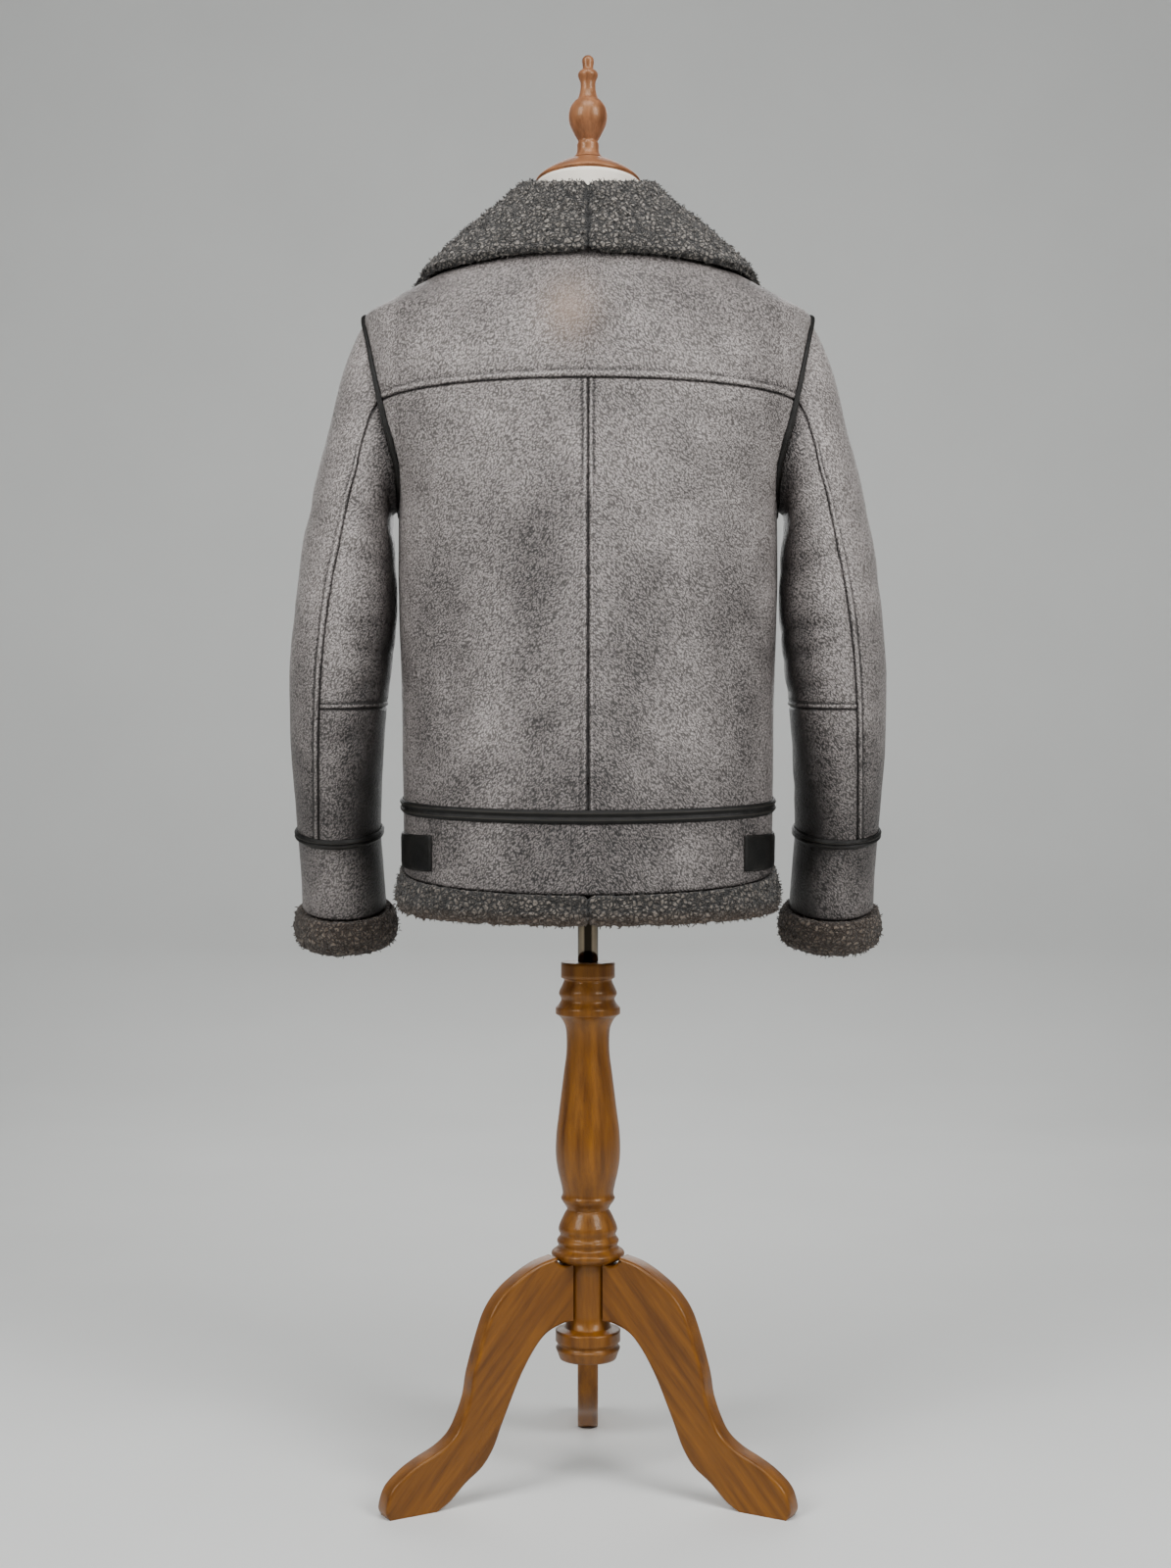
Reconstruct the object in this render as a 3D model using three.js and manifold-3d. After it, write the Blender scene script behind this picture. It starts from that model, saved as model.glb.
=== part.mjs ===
// A shearling bomber jacket on a limbless dress form with a turned wooden tripod stand.
// Millimetres, +Z up, floor at z = 0. The jacket's back faces +Y and its front faces -Y;
// the wearer's left is +X. Inside the model the stand's column is the line x = y = 0, and
// the whole model is then moved so that the origin is below the middle of its bounding box.
import * as THREE from 'three';
import Module from 'manifold-3d';

const wasm = await Module();
wasm.setup();

// Driving dimensions
const COLUMN_Y = 51.5;        // the column's place behind the origin
const WALL = 5;               // shearling: skin with its pressed wool
const GAP = 0.3;              // left between pieces at every seam
const LIFT = 0.4;             // under what lies on a panel
const ARM_LIFT = 0.9;         // under the armhole trim, where the panel is more curved
const QUARTER = 9;            // panel columns from the centre line to the side
const ARMHOLE_STEPS = 10;     // panel rows along half of the armhole
const ZIP_HALF = 5.3;         // half of the opening that the zip fills
const WAIST_LEVEL = 690.5;    // seam between body and waistband, at the side
const WAIST_TRIM = 12.6;      // height of the waist trim
const ARM_TRIM = 9.5;         // width of the armhole trim
const ARM_TRIM_SHARES = [0.22, 0.97];  // where the trim lies across its strip of panel
const ARM_ANGLES = [3, 177];  // the panels' strip stops this near to the shoulder tip and armpit
const ARM_WALL = 1.15;        // the walls are this much thicker where body and sleeve meet slanting
const PRESS = { start: 100, end: 160, least: 0.25 };  // where the armpit presses the trim flat
const FUR_SEAM = 625;         // seam between waistband and hem fur, at the side
const HEM = 583;              // bottom of the hem fur, at the side
const TRIM_RIDGES = [[0, 0.8], [0.25, 3.0], [0.5, 1.5], [0.75, 3.0], [1, 0.8]];

// Horizontal sections of the jacket's outer surface
const BODY = table(['z', 'width', 'back', 'front', 'square'], [
  [560, 187, 116, 112, 2.5],
  [620, 186.5, 117, 113, 2.5],
  [690, 187.5, 116, 113, 2.5],
  [777, 188.5, 116, 116, 2.5],
  [857, 191, 117, 120, 2.5],
  [930, 192.3, 118, 124, 2.5],
  [988, 192, 118.5, 126, 2.5],
  [1023, 201, 119, 127, 2.5],
  [1045, 211, 119, 127, 2.5],
  [1073, 220, 118.5, 126, 2.5],
  [1120, 225, 118, 123, 2.45],
  [1160, 225.5, 116, 118, 2.4],
  [1180, 226.8, 113, 112, 2.35],
  [1195, 204, 109, 106, 2.3],
  [1205, 186, 106, 101, 2.25],
  [1217, 164, 101, 95, 2.2],
  [1232, 130, 92, 86, 2.1],
  [1246, 96, 82, 77, 2.05],
  [1256, 74, 74, 71, 2.0],
  [1266, 68, 69, 68, 2.0],
]);

// How far a level line rises at the centre back and centre front above its height at the side
const BOW = table(['level', 'back', 'front'], [
  [583, -13, 6],
  [625, -24, 5],
  [660, -17, 6],
  [691, -13.5, 6],
  [850, -4, 3],
  [990, 0, 0],
  [1045, 4, 0],
  [1093, 11, 0],
  [1140, 8, 0],
  [1180, 2, -2],
  [1205, 0, -8],
  [1256, 4, -36],
]);

// Sleeve rings: outermost and innermost point, half depth, middle y, drop of the back point,
// share of the armhole's own shape that is kept, and angles of the back and front seams
const SLEEVE = table(['outX', 'outZ', 'inX', 'inZ', 'depth', 'midY', 'drop', 'keep', 'seam', 'under'], [
  [226.8, 1180, 192, 988, 58.5, 0, 0, 1, 72, 252],
  [237, 1160, 200, 980, 62, 0, 0, 0.8, 76, 252],
  [249, 1128, 199.5, 966, 66, 0, 0, 0.5, 81, 250],
  [262, 1078, 197, 950, 70, 0, 0, 0.2, 85, 250],
  [275, 1025, 196, 930, 72, 0, 0, 0, 85, 250],
  [286, 975, 195, 908, 72, 0, 0, 0, 83, 250],
  [294, 930, 194.8, 885, 71, 0, 0, 0, 80, 250],
  [300, 875, 196.5, 860, 69, 0, 1, 0, 77, 250],
  [304, 820, 201, 820, 66.5, -2, 3, 0, 75.5, 250],
  [304.4, 788, 205.6, 788, 64, -6, 5, 0, 75, 250],
  [304.2, 750, 209.2, 750, 60, -12, 8, 0, 74, 250],
  [302.5, 705, 212.4, 705, 54, -25, 11, 0, 71, 250],
  [301, 664.5, 214.8, 664.5, 48.5, -37, 12.5, 0, 68, 250],
  [300.5, 655, 215.1, 655, 47.5, -40, 12.5, 0, 68, 250],
  [299, 618, 213, 618, 44.5, -50, 12.5, 0, 68, 250],
  [298.5, 580, 211, 580, 43.5, -60, 12.5, 0, 68, 250],
  [298, 540, 209, 540, 43.5, -71, 12.5, 0, 68, 250],
]);
const ELBOW_RING = 9;
const CUFF_SEAM = 12.5;       // the ring number where sleeve and cuff band meet
const CUFF_END = 15;
const CUFF_TRIM_RINGS = [12, 13];

// The armhole on the body: half depth, heights above and below its widest level, and that level
const ARMHOLE = { depth: 58.5, up: 125, down: 67, level: 1055, power: 1.8 };

// Fur rolls across the wall: share of the way down, and offset from the outer surface
const HEM_ROLL = [[0, -7], [0, 3], [0.25, 8], [0.6, 10.5], [0.9, 7], [1, 0], [0.9, -8], [0.55, -12], [0.2, -11]];
const CUFF_ROLL = [[0.01, -7], [0.01, 5], [0.2, 10], [0.5, 12], [0.85, 8.5], [1, 0], [0.88, -8], [0.55, -11], [0.2, -10]];
const CUFF_FUR = 38;          // length of the cuff's fur along the sleeve

// The collar, for each angle round the neck from the centre back: the fold's radius and height,
// and where the leaf's edge lies on the body (angle, height)
const COLLAR = table(['angle', 'foldR', 'foldZ', 'edgeTurn', 'edgeZ'], [
  [0, 66, 1299, 0, 1226],
  [30, 66, 1301, 26, 1224],
  [60, 65.5, 1308, 56, 1218],
  [90, 65, 1313, 88, 1218],
  [115, 71, 1301, 116, 1202],
  [140, 84, 1270, 139, 1175],
  [155, 93, 1252, 154, 1159],
  [166, 98, 1244, 166, 1158],
]);
const COLLAR_REST = 1.4;      // between the leaf and the body below it
const LEAF_HALF = 9;          // half the thickness of the furred leaf
const EDGE_HALF = 6.5;        // half its thickness at the edge
const COLLAR_HALF = [2.2, 3.6, 5, 7, 8, LEAF_HALF, LEAF_HALF, EDGE_HALF];  // from the foot to the edge
const COLLAR_FOOT = { inset: 3.2, back: 2.7, front: 5 };  // into and above the neckline
const COLLAR_END = 166;       // the front end's angle from the centre back
const COLLAR_TIP = { past: 2, thin: 0.5 };  // the end narrows to this share, this many degrees on

// The dress form below the shoulders
const FORM = table(['z', 'width', 'back', 'front'], [
  [640, 160, 92, 88],
  [700, 163, 94, 92],
  [780, 158, 92, 94],
  [850, 153, 92, 98],
  [930, 164, 98, 107],
  [988, 172, 104, 112],
  [1045, 181, 109, 117],
  [1100, 188, 110, 115],
  [1140, 194, 109, 110],
  [1168, 198, 106, 106],
]);
const FORM_NECK = [[72, 1243, 0], [60.5, 1256, 0], [57, 1276, 1.5], [54.6, 1296, 3.5], [53.5, 1318.4, 5.3]];
const FORM_EASE = 0.5;        // between the form's shoulders and the jacket
const FORM_SQUARE = 2.4;      // squareness of the torso's sections
const SHOULDER_LEVELS = [1192, 1205, 1218, 1232, 1246];
const NECK_LEVEL = 1258;
const NECK_DIP = 3;           // how sharply the front neckline dips towards its middle

// The neck cap: radius, height and backward tilt of each ring
const CAP = [[52.5, 1319, 5.3], [53.8, 1320.6, 5.3], [53.2, 1322.8, 5.2], [48, 1328, 4.2], [39, 1334.5, 2.8],
  [28, 1340.8, 1.4], [17, 1345.8, 0]];

// Turned profiles from the top down: radius, height
const FINIAL = [[0, 1452.2], [3.6, 1451], [6.2, 1447], [5.6, 1438.4], [9.2, 1435], [10.4, 1431], [8, 1424], [8.2, 1416],
  [10.7, 1408], [14.8, 1403.7], [18.6, 1397.6], [20, 1389], [18.6, 1381], [15, 1373], [11.7, 1367], [10.2, 1364],
  [11.2, 1361], [11.2, 1357], [11.5, 1354], [12.8, 1350.6], [16, 1346.6], [0, 1346.1]];
const POST = [[0, 527.5], [27.5, 527.5], [27.5, 512], [24.5, 509.5], [26, 505], [29.7, 496], [27.3, 489.2], [33, 481],
  [33, 475], [27.8, 471], [23.2, 462], [21.9, 451], [22.2, 434], [24.6, 415], [29.9, 373], [32.1, 356], [33.1, 336],
  [31.6, 319], [26.1, 294], [27.5, 287], [23, 280], [21, 276], [23.9, 271.5], [29.9, 257.5], [28.3, 250],
  [31.6, 244.5], [30.3, 238.5], [36.8, 233], [36.2, 228], [30, 224], [22.7, 223], [22.7, 156.5], [33, 153], [33, 142],
  [30.5, 138.7], [33, 135], [29, 124.3], [0, 124.3]];
const POLE_RADIUS = 10.5;
const CAP_SEGMENTS = 28;

// One leg's outline in its own plane: distance from the column's axis, height
const LEG = [[23.1, 223], [33, 223.4], [38.5, 226], [41.5, 232.5], [60.5, 228], [79, 219], [98, 206], [113, 189],
  [122.6, 168], [134.8, 129], [139.3, 105], [147, 85], [156, 70], [171, 59], [192, 50], [209, 40.6], [224, 27],
  [230, 9], [226, 0], [176, 0], [162, 6], [144, 22], [125.6, 35], [113, 52], [104, 73], [95, 93], [82.5, 119],
  [68, 142], [54, 157], [38, 164], [23.1, 167]];
const LEG_THICK = 22;
const LEG_ROUND = 2.5;
const LEG_TURNS = { leg_back_left: 30, leg_back_right: 150, leg_front: -90 };

// The zip's tapes, and its slider and pull tab
const TAPE = { behind: 1.6, thick: 1.4, above: 6, gap: 0.15 };
const SLIDER = { width: 8.6, height: 11, thick: 3.2, level: 1196, lean: 25, rest: 0.5, sink: 0.4 };
const PULL = { width: 4.6, length: 30, thick: 1.6, eye: 2.7, pin: 1.1, lug: 1.2, lugHeight: 4 };

const leather = finish(0x8c8683, 0.62);
const fur = finish(0x5d5751, 0.95);
const black = finish(0x1d1c1a, 0.5);
const jersey = finish(0xe9dfd0, 0.9);
const wood = finish(0x84521f, 0.4);
const chrome = finish(0x9a978f, 0.15, 1);
const tapeCloth = finish(0x2a2927, 0.85);

function finish(color, roughness, metalness = 0) {
  return new THREE.MeshStandardMaterial({ color, roughness, metalness });
}

function table(names, rows) {
  return rows.map((row) => Object.fromEntries(names.map((name, i) => [name, row[i]])));
}

// Side tabs: level and rise towards the centre of each row, thickness, first panel column
const TAB_ROWS = [[661, -4], [650, -5], [639, -6], [627.4, -7]];
const TAB = { thick: 2.6, firstColumn: 5 };

// Smooth interpolation of one column that never overshoots its rows
function smooth(rows, key, column, at) {
  const last = rows.length - 1;
  if (at <= rows[0][key]) return rows[0][column];
  if (at >= rows[last][key]) return rows[last][column];
  let i = 0;
  while (rows[i + 1][key] < at) i += 1;
  const slope = (k) => (rows[k + 1][column] - rows[k][column]) / (rows[k + 1][key] - rows[k][key]);
  const tangent = (k) => {
    if (k === 0) return slope(0);
    if (k === last) return slope(last - 1);
    const product = slope(k - 1) * slope(k);
    return product <= 0 ? 0 : (2 * product) / (slope(k - 1) + slope(k));
  };
  const step = rows[i + 1][key] - rows[i][key];
  const t = (at - rows[i][key]) / step;
  const a = rows[i][column] * (1 + 2 * t) * (1 - t) ** 2 + rows[i + 1][column] * t * t * (3 - 2 * t);
  return a + step * (tangent(i) * t * (1 - t) ** 2 - tangent(i + 1) * t * t * (1 - t));
}

const radians = THREE.MathUtils.degToRad;
const vec = (x, y, z) => new THREE.Vector3(x, y, z);
const count = (from, to) => Array.from({ length: to - from + 1 }, (_, i) => from + i);
const power = (value, exponent) => Math.sign(value) * Math.abs(value) ** exponent;

// A point of the jacket's surface. The turn runs from 0 at the centre line to 90 at the side.
function bodyPoint(turn, z, side) {
  const n = smooth(BODY, 'z', 'square', z);
  const s = Math.sin(radians(turn));
  const c = Math.cos(radians(turn));
  const r = (Math.abs(s) ** n + Math.abs(c) ** n) ** (-1 / n);
  const depth = smooth(BODY, 'z', side, z) * (side === 'back' ? 1 : -1);
  return vec(smooth(BODY, 'z', 'width', z) * r * s, depth * r * c, z);
}

function bodyNormal(turn, z, side) {
  const around = bodyPoint(turn + 1, z, side).sub(bodyPoint(turn - 1, z, side));
  const upward = bodyPoint(turn, z + 1.5, side).sub(bodyPoint(turn, z - 1.5, side));
  const normal = around.cross(upward).normalize();
  return side === 'back' ? normal.negate() : normal;
}

// The armhole line on the body, moved over the body away from the arm by the given distance.
// The angle runs from 0 at the shoulder tip to 180 at the armpit.
function armhole(angle, away = 0) {
  const c = Math.cos(radians(angle));
  const height = c > 0 ? ARMHOLE.up + 0.55 * away : ARMHOLE.down + away;
  const z = ARMHOLE.level + height * power(c, 2 / ARMHOLE.power);
  const y = (ARMHOLE.depth + 0.77 * away) * power(Math.sin(radians(angle)), 2 / ARMHOLE.power);
  return { y, z };
}

// The turn at which the section at height z reaches the given depth y
function turnAt(y, z, side) {
  const n = smooth(BODY, 'z', 'square', z);
  const share = Math.min(1, Math.abs(y) / smooth(BODY, 'z', side, z));
  return THREE.MathUtils.radToDeg(Math.atan2((1 - share ** n) ** (1 / n), share));
}

// Mean outward direction of body and sleeve where they are sewn together
function seamNormal(angle) {
  const c = Math.cos(radians(angle));
  return vec(0.42 + 0.68 * Math.max(0, c) ** 2, Math.sin(radians(angle)), c).normalize();
}

// Height of a level line at a turn, where the line meets the panel's edge at the given turn
function levelHeight(level, turn, side, edgeTurn = 90, rise = smooth(BOW, 'level', side, level)) {
  const dip = side === 'front' && level > SHOULDER_LEVELS[0] ? NECK_DIP : 1;
  const spread = Math.cos(radians(edgeTurn));
  return level + rise * ((Math.cos(radians(turn)) - spread) / (1 - spread)) ** dip;
}

// One row of a body panel, from the centre line to the side seam or armhole
function bodyRow(level, side, armAngle = null, rise = undefined) {
  const sign = side === 'back' ? 1 : -1;
  const row = { out: [], normal: [] };
  const put = (turn, z) => {
    row.out.push(bodyPoint(turn, z, side));
    row.normal.push(bodyNormal(turn, z, side));
  };
  let edgeTurn = 90;
  let columns = QUARTER;
  if (armAngle !== null) {
    const inner = armhole(THREE.MathUtils.clamp(armAngle, ...ARM_ANGLES), ARM_TRIM);
    edgeTurn = turnAt(inner.y, inner.z, side);
    level = inner.z;
    columns = QUARTER - 1;
  }
  const first = side === 'front' ? centreTurn(level) : 0;
  for (let j = 0; j <= columns; j += 1) {
    const turn = first + (edgeTurn - first) * (j / columns);
    put(turn, levelHeight(level, turn, side, edgeTurn, rise));
  }
  if (armAngle !== null) {
    const edge = armhole(armAngle);
    row.out.push(bodyPoint(turnAt(edge.y, edge.z, side), edge.z, side));
    const normal = seamNormal(armAngle);
    row.normal.push(vec(normal.x, normal.y * sign, normal.z).multiplyScalar(ARM_WALL));
  }
  return row;
}

// The turn at which a front's edge lies beside the zip
function centreTurn(level) {
  return THREE.MathUtils.radToDeg(Math.atan2(ZIP_HALF / smooth(BODY, 'z', 'width', level), 1));
}

const lowLevels = (from, to, count) => Array.from({ length: count + 1 }, (_, i) => from + (to - from) * (i / count));
const armAngles = (from, to) => {
  const step = 180 / ARMHOLE_STEPS;
  return Array.from({ length: Math.round((from - to) / step) + 1 }, (_, i) => from - i * step);
};

// A grid of outer points and the inner points below them, ready for wallSolid
function wallGrid(rows, thick = WALL, lift = 0) {
  const move = (row, distance) => row.out.map((p, j) => p.clone().addScaledVector(row.normal[j], distance));
  return { outer: rows.map((row) => move(row, lift + thick)), inner: rows.map((row) => move(row, lift)) };
}

function panelGrid(rows) {
  return wallGrid(rows, WALL, -WALL);
}

// Draws the chosen edges of a grid back by half the seam gap
function drawBack(grid, { rows = true, columns = true } = {}) {
  for (const points of [grid.outer, grid.inner]) {
    const last = points.length - 1;
    if (rows) {
      for (const [edge, next] of [[0, 1], [last, last - 1]]) {
        points[edge].forEach((p, j) => p.add(points[next][j].clone().sub(p).setLength(GAP / 2)));
      }
    }
    if (columns) {
      for (const row of points) {
        const end = row.length - 1;
        row[0].add(row[1].clone().sub(row[0]).setLength(GAP / 2));
        row[end].add(row[end - 1].clone().sub(row[end]).setLength(GAP / 2));
      }
    }
  }
  return grid;
}

// Mirrors a list of rows across x = 0 and joins both halves into rows right across the back
function acrossRows(rows) {
  const flip = (v) => vec(-v.x, v.y, v.z);
  return rows.map((row) => ({
    out: [...row.out.slice(1).map(flip).reverse(), ...row.out],
    normal: [...row.normal.slice(1).map(flip).reverse(), ...row.normal],
  }));
}

// A closed mesh from points and triangles, turned the right way out, with flat shading
function solid(points, triangles) {
  let volume = 0;
  for (const [a, b, c] of triangles) volume += points[a].dot(points[b].clone().cross(points[c]));
  const index = triangles.flatMap(([a, b, c]) => (volume < 0 ? [a, c, b] : [a, b, c]));
  const geometry = new THREE.BufferGeometry();
  geometry.setAttribute('position', new THREE.Float32BufferAttribute(points.flatMap((p) => [p.x, p.y, p.z]), 3));
  geometry.setIndex(index);
  geometry.computeVertexNormals();
  return geometry;
}

// A wall between an outer and an inner grid; round closes each row on itself
function wallSolid({ outer, inner }, round = false) {
  const rows = outer.length;
  const columns = outer[0].length;
  const points = [...outer.flat(), ...inner.flat()];
  const at = (layer, i, j) => (layer * rows + i) * columns + (j % columns);
  const triangles = [];
  const quad = (a, b, c, d) => triangles.push([a, b, c], [a, c, d]);
  const spans = round ? columns : columns - 1;
  for (let i = 0; i < rows - 1; i += 1) {
    for (let j = 0; j < spans; j += 1) {
      quad(at(0, i, j), at(0, i, j + 1), at(0, i + 1, j + 1), at(0, i + 1, j));
      quad(at(1, i, j), at(1, i + 1, j), at(1, i + 1, j + 1), at(1, i, j + 1));
    }
    if (!round) {
      quad(at(0, i, 0), at(0, i + 1, 0), at(1, i + 1, 0), at(1, i, 0));
      quad(at(0, i, spans), at(1, i, spans), at(1, i + 1, spans), at(0, i + 1, spans));
    }
  }
  for (let j = 0; j < spans; j += 1) {
    quad(at(0, 0, j), at(1, 0, j), at(1, 0, j + 1), at(0, 0, j + 1));
    quad(at(0, rows - 1, j), at(0, rows - 1, j + 1), at(1, rows - 1, j + 1), at(1, rows - 1, j));
  }
  return solid(points, triangles);
}

// A roll: closed section loops joined one to the next, with flat ends or closed on itself
function rollSolid(loops, round = false) {
  const count = loops[0].length;
  const points = loops.flat();
  const triangles = [];
  const spans = round ? loops.length : loops.length - 1;
  for (let i = 0; i < spans; i += 1) {
    for (let j = 0; j < count; j += 1) {
      const a = i * count + j;
      const b = i * count + ((j + 1) % count);
      const next = ((i + 1) % loops.length) * count;
      const c = next + ((j + 1) % count);
      triangles.push([a, b, c], [a, c, next + j]);
    }
  }
  if (!round) {
    for (const [start, turned] of [[0, true], [(loops.length - 1) * count, false]]) {
      const centre = points.length;
      const middle = vec(0, 0, 0);
      for (let j = 0; j < count; j += 1) middle.add(points[start + j]);
      points.push(middle.divideScalar(count));
      for (let j = 0; j < count; j += 1) {
        const edge = [start + j, start + ((j + 1) % count)];
        triangles.push(turned ? [centre, edge[1], edge[0]] : [centre, edge[0], edge[1]]);
      }
    }
  }
  return solid(points, triangles);
}

function mirrored(geometry) {
  const copy = geometry.clone();
  copy.scale(-1, 1, 1);
  const index = Array.from(copy.index.array);
  for (let i = 0; i < index.length; i += 3) [index[i + 1], index[i + 2]] = [index[i + 2], index[i + 1]];
  copy.setIndex(index);
  copy.computeVertexNormals();
  return copy;
}

const model = new THREE.Group();
model.position.y = COLUMN_Y;

function add(name, geometry, material, parent = model) {
  const mesh = new THREE.Mesh(geometry, material);
  mesh.name = name;
  parent.add(mesh);
  return mesh;
}

function addPair(name, geometry, material) {
  add(`${name}_left`, geometry, material);
  add(`${name}_right`, mirrored(geometry), material);
}

// Body panels
const backRows = [
  ...lowLevels(WAIST_LEVEL, 960, 5).map((level) => bodyRow(level, 'back')),
  ...armAngles(180, 72).map((angle) => bodyRow(0, 'back', angle)),
];
addPair('back', wallSolid(drawBack(panelGrid(backRows))), leather);

const yokeRows = [
  ...armAngles(72, 0).map((angle) => bodyRow(0, 'back', angle)),
  ...[...SHOULDER_LEVELS, NECK_LEVEL].map((level) => bodyRow(level, 'back')),
];
add('back_yoke', wallSolid(drawBack(panelGrid(acrossRows(yokeRows)))), leather);

const frontRows = [
  ...lowLevels(WAIST_LEVEL, 960, 5).map((level) => bodyRow(level, 'front')),
  ...armAngles(180, 0).map((angle) => bodyRow(0, 'front', angle)),
  ...[...SHOULDER_LEVELS, NECK_LEVEL].map((level) => bodyRow(level, 'front')),
];
addPair('front', wallSolid(drawBack(panelGrid(frontRows))), leather);

// Waistband, waist trim, side tabs and hem fur
const bandLevels = [WAIST_LEVEL, 668, 646, FUR_SEAM];
const bandRows = (side) => bandLevels.map((level) => bodyRow(level, side));
add('waistband_back', wallSolid(drawBack(panelGrid(acrossRows(bandRows('back'))))), leather);
addPair('waistband_front', wallSolid(drawBack(panelGrid(bandRows('front')))), leather);

// One row right round the body, from the left edge of the zip over the back to the right edge
function roundRow(level) {
  const back = acrossRows([bodyRow(level, 'back')])[0];
  const front = bodyRow(level, 'front');
  const flip = (v) => vec(-v.x, v.y, v.z);
  return {
    out: [...front.out.slice(0, -1).map(flip), ...back.out, ...front.out.slice(0, -1).reverse()],
    normal: [...front.normal.slice(0, -1).map(flip), ...back.normal, ...front.normal.slice(0, -1).reverse()],
  };
}

// A bound strip with two ridges; scaleAt lowers it where it is pressed into a fold
function trimGrid(rowAt, lift = LIFT, scaleAt = () => 1) {
  const grid = { outer: [], inner: [] };
  for (const [share, height] of TRIM_RIDGES) {
    const row = rowAt(share);
    const move = (distance) => row.out.map((p, j) => p.clone().addScaledVector(row.normal[j], distance(j)));
    grid.outer.push(move((j) => lift + height * scaleAt(j)));
    grid.inner.push(move(() => lift));
  }
  return grid;
}
const waistTrim = trimGrid((share) => roundRow(WAIST_LEVEL + WAIST_TRIM * (0.5 - share)));
add('waist_trim', wallSolid(waistTrim), black);

const tabRows = TAB_ROWS.map(([level, rise]) => {
  const back = bodyRow(level, 'back', null, rise);
  const front = bodyRow(level, 'front', null, -rise);
  const cut = (list, other) => [...list.slice(TAB.firstColumn), ...other.slice(TAB.firstColumn, -1).reverse()];
  return { out: cut(back.out, front.out), normal: cut(back.normal, front.normal) };
});
addPair('side_tab', wallSolid(wallGrid(tabRows, TAB.thick, LIFT)), black);

// The hem's fur roll: one section loop for each column from the centre back to the zip
function hemLoops() {
  const rolls = HEM_ROLL.map(([share, offset]) => {
    const level = FUR_SEAM + (HEM - FUR_SEAM) * share;
    const back = bodyRow(level, 'back');
    const front = bodyRow(level, 'front');
    const join = (key) => [...back[key], ...front[key].slice(0, -1).reverse()];
    const normals = join('normal');
    return join('out').map((p, j) => p.clone().addScaledVector(normals[j], offset).add(vec(0, 0, -GAP)));
  });
  return rolls[0].map((_, j) => rolls.map((roll) => roll[j]));
}
const loops = hemLoops();
loops[0].forEach((p) => { p.x += GAP / 2; });
addPair('hem_fur', rollSolid(loops), fur);

// The zip: a tape on each side, a slider and its pull tab
const tapeRows = [...lowLevels(HEM + 4, 1180, 10), 1200, 1214].map((level) => {
  const depth = smooth(BODY, 'z', 'front', level) - TAPE.behind;
  const inner = vec(TAPE.gap, -depth, level + TAPE.above);
  const outer = vec(ZIP_HALF - GAP, -depth, level + TAPE.above);
  return { out: [inner, outer], normal: [vec(0, -1, 0), vec(0, -1, 0)] };
});
addPair('zip_tape', wallSolid(wallGrid(tapeRows, TAPE.thick, -TAPE.thick)), tapeCloth);

function manifoldOf(geometry) {
  const position = geometry.attributes.position;
  const keys = new Map();
  const points = [];
  const triangles = [];
  const order = geometry.index ? Array.from(geometry.index.array) : count(0, position.count - 1);
  for (const i of order) {
    const p = [position.getX(i), position.getY(i), position.getZ(i)];
    const key = p.map((value) => value.toFixed(4)).join(' ');
    if (!keys.has(key)) {
      keys.set(key, points.length / 3);
      points.push(...p);
    }
    triangles.push(keys.get(key));
  }
  const mesh = { numProp: 3, vertProperties: new Float32Array(points), triVerts: new Uint32Array(triangles) };
  return new wasm.Manifold(new wasm.Mesh(mesh));
}

function geometryOf(manifold) {
  const mesh = manifold.getMesh();
  const geometry = new THREE.BufferGeometry();
  geometry.setAttribute('position', new THREE.BufferAttribute(mesh.vertProperties, 3));
  geometry.setIndex(new THREE.BufferAttribute(mesh.triVerts, 1));
  geometry.computeVertexNormals();
  return geometry;
}

const box = (x, y, z, at) => new THREE.BoxGeometry(x, y, z).translate(...at);
const rod = (radius, length) => new THREE.CylinderGeometry(radius, radius, length, 12).rotateZ(Math.PI / 2);

// The slider's own frame: its back lies on y = 0 and its pin runs along X at the pivot
const PIVOT = { y: -(SLIDER.thick + PULL.eye + SLIDER.sink), z: 2 };
const lugX = PULL.width / 2 + GAP + PULL.lug / 2;
const lugDepth = PULL.eye + PULL.pin + 2 * SLIDER.sink;
const lugY = SLIDER.sink - SLIDER.thick - lugDepth / 2;
const lug = (x) => box(PULL.lug, lugDepth, PULL.lugHeight, [x, lugY, PIVOT.z]);
const slider = [lug(lugX), lug(-lugX), rod(PULL.pin, 2 * lugX).translate(0, PIVOT.y, PIVOT.z)].reduce(
  (whole, piece) => whole.add(manifoldOf(piece)),
  manifoldOf(box(SLIDER.width, SLIDER.thick, SLIDER.height, [0, -SLIDER.thick / 2, 0])),
);

// The pull: an eye round the pin and a plate that hangs from it
const eyeShape = new THREE.Shape();
const neck = PULL.thick / 2;
const neckAngle = Math.asin(neck / PULL.eye);
eyeShape.absarc(0, 0, PULL.eye, -Math.PI / 2 + neckAngle, -Math.PI / 2 - neckAngle + 2 * Math.PI, false);
eyeShape.lineTo(-neck, -PULL.length);
eyeShape.lineTo(neck, -PULL.length);
const eyeHole = new THREE.Path();
eyeHole.absarc(0, 0, PULL.pin + GAP, 0, 2 * Math.PI, true);
eyeShape.holes.push(eyeHole);
const pull = new THREE.ExtrudeGeometry(eyeShape, { depth: PULL.width, bevelEnabled: false, curveSegments: 10 });
pull.translate(0, 0, -PULL.width / 2).rotateX(Math.PI / 2).rotateZ(Math.PI / 2);

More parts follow.
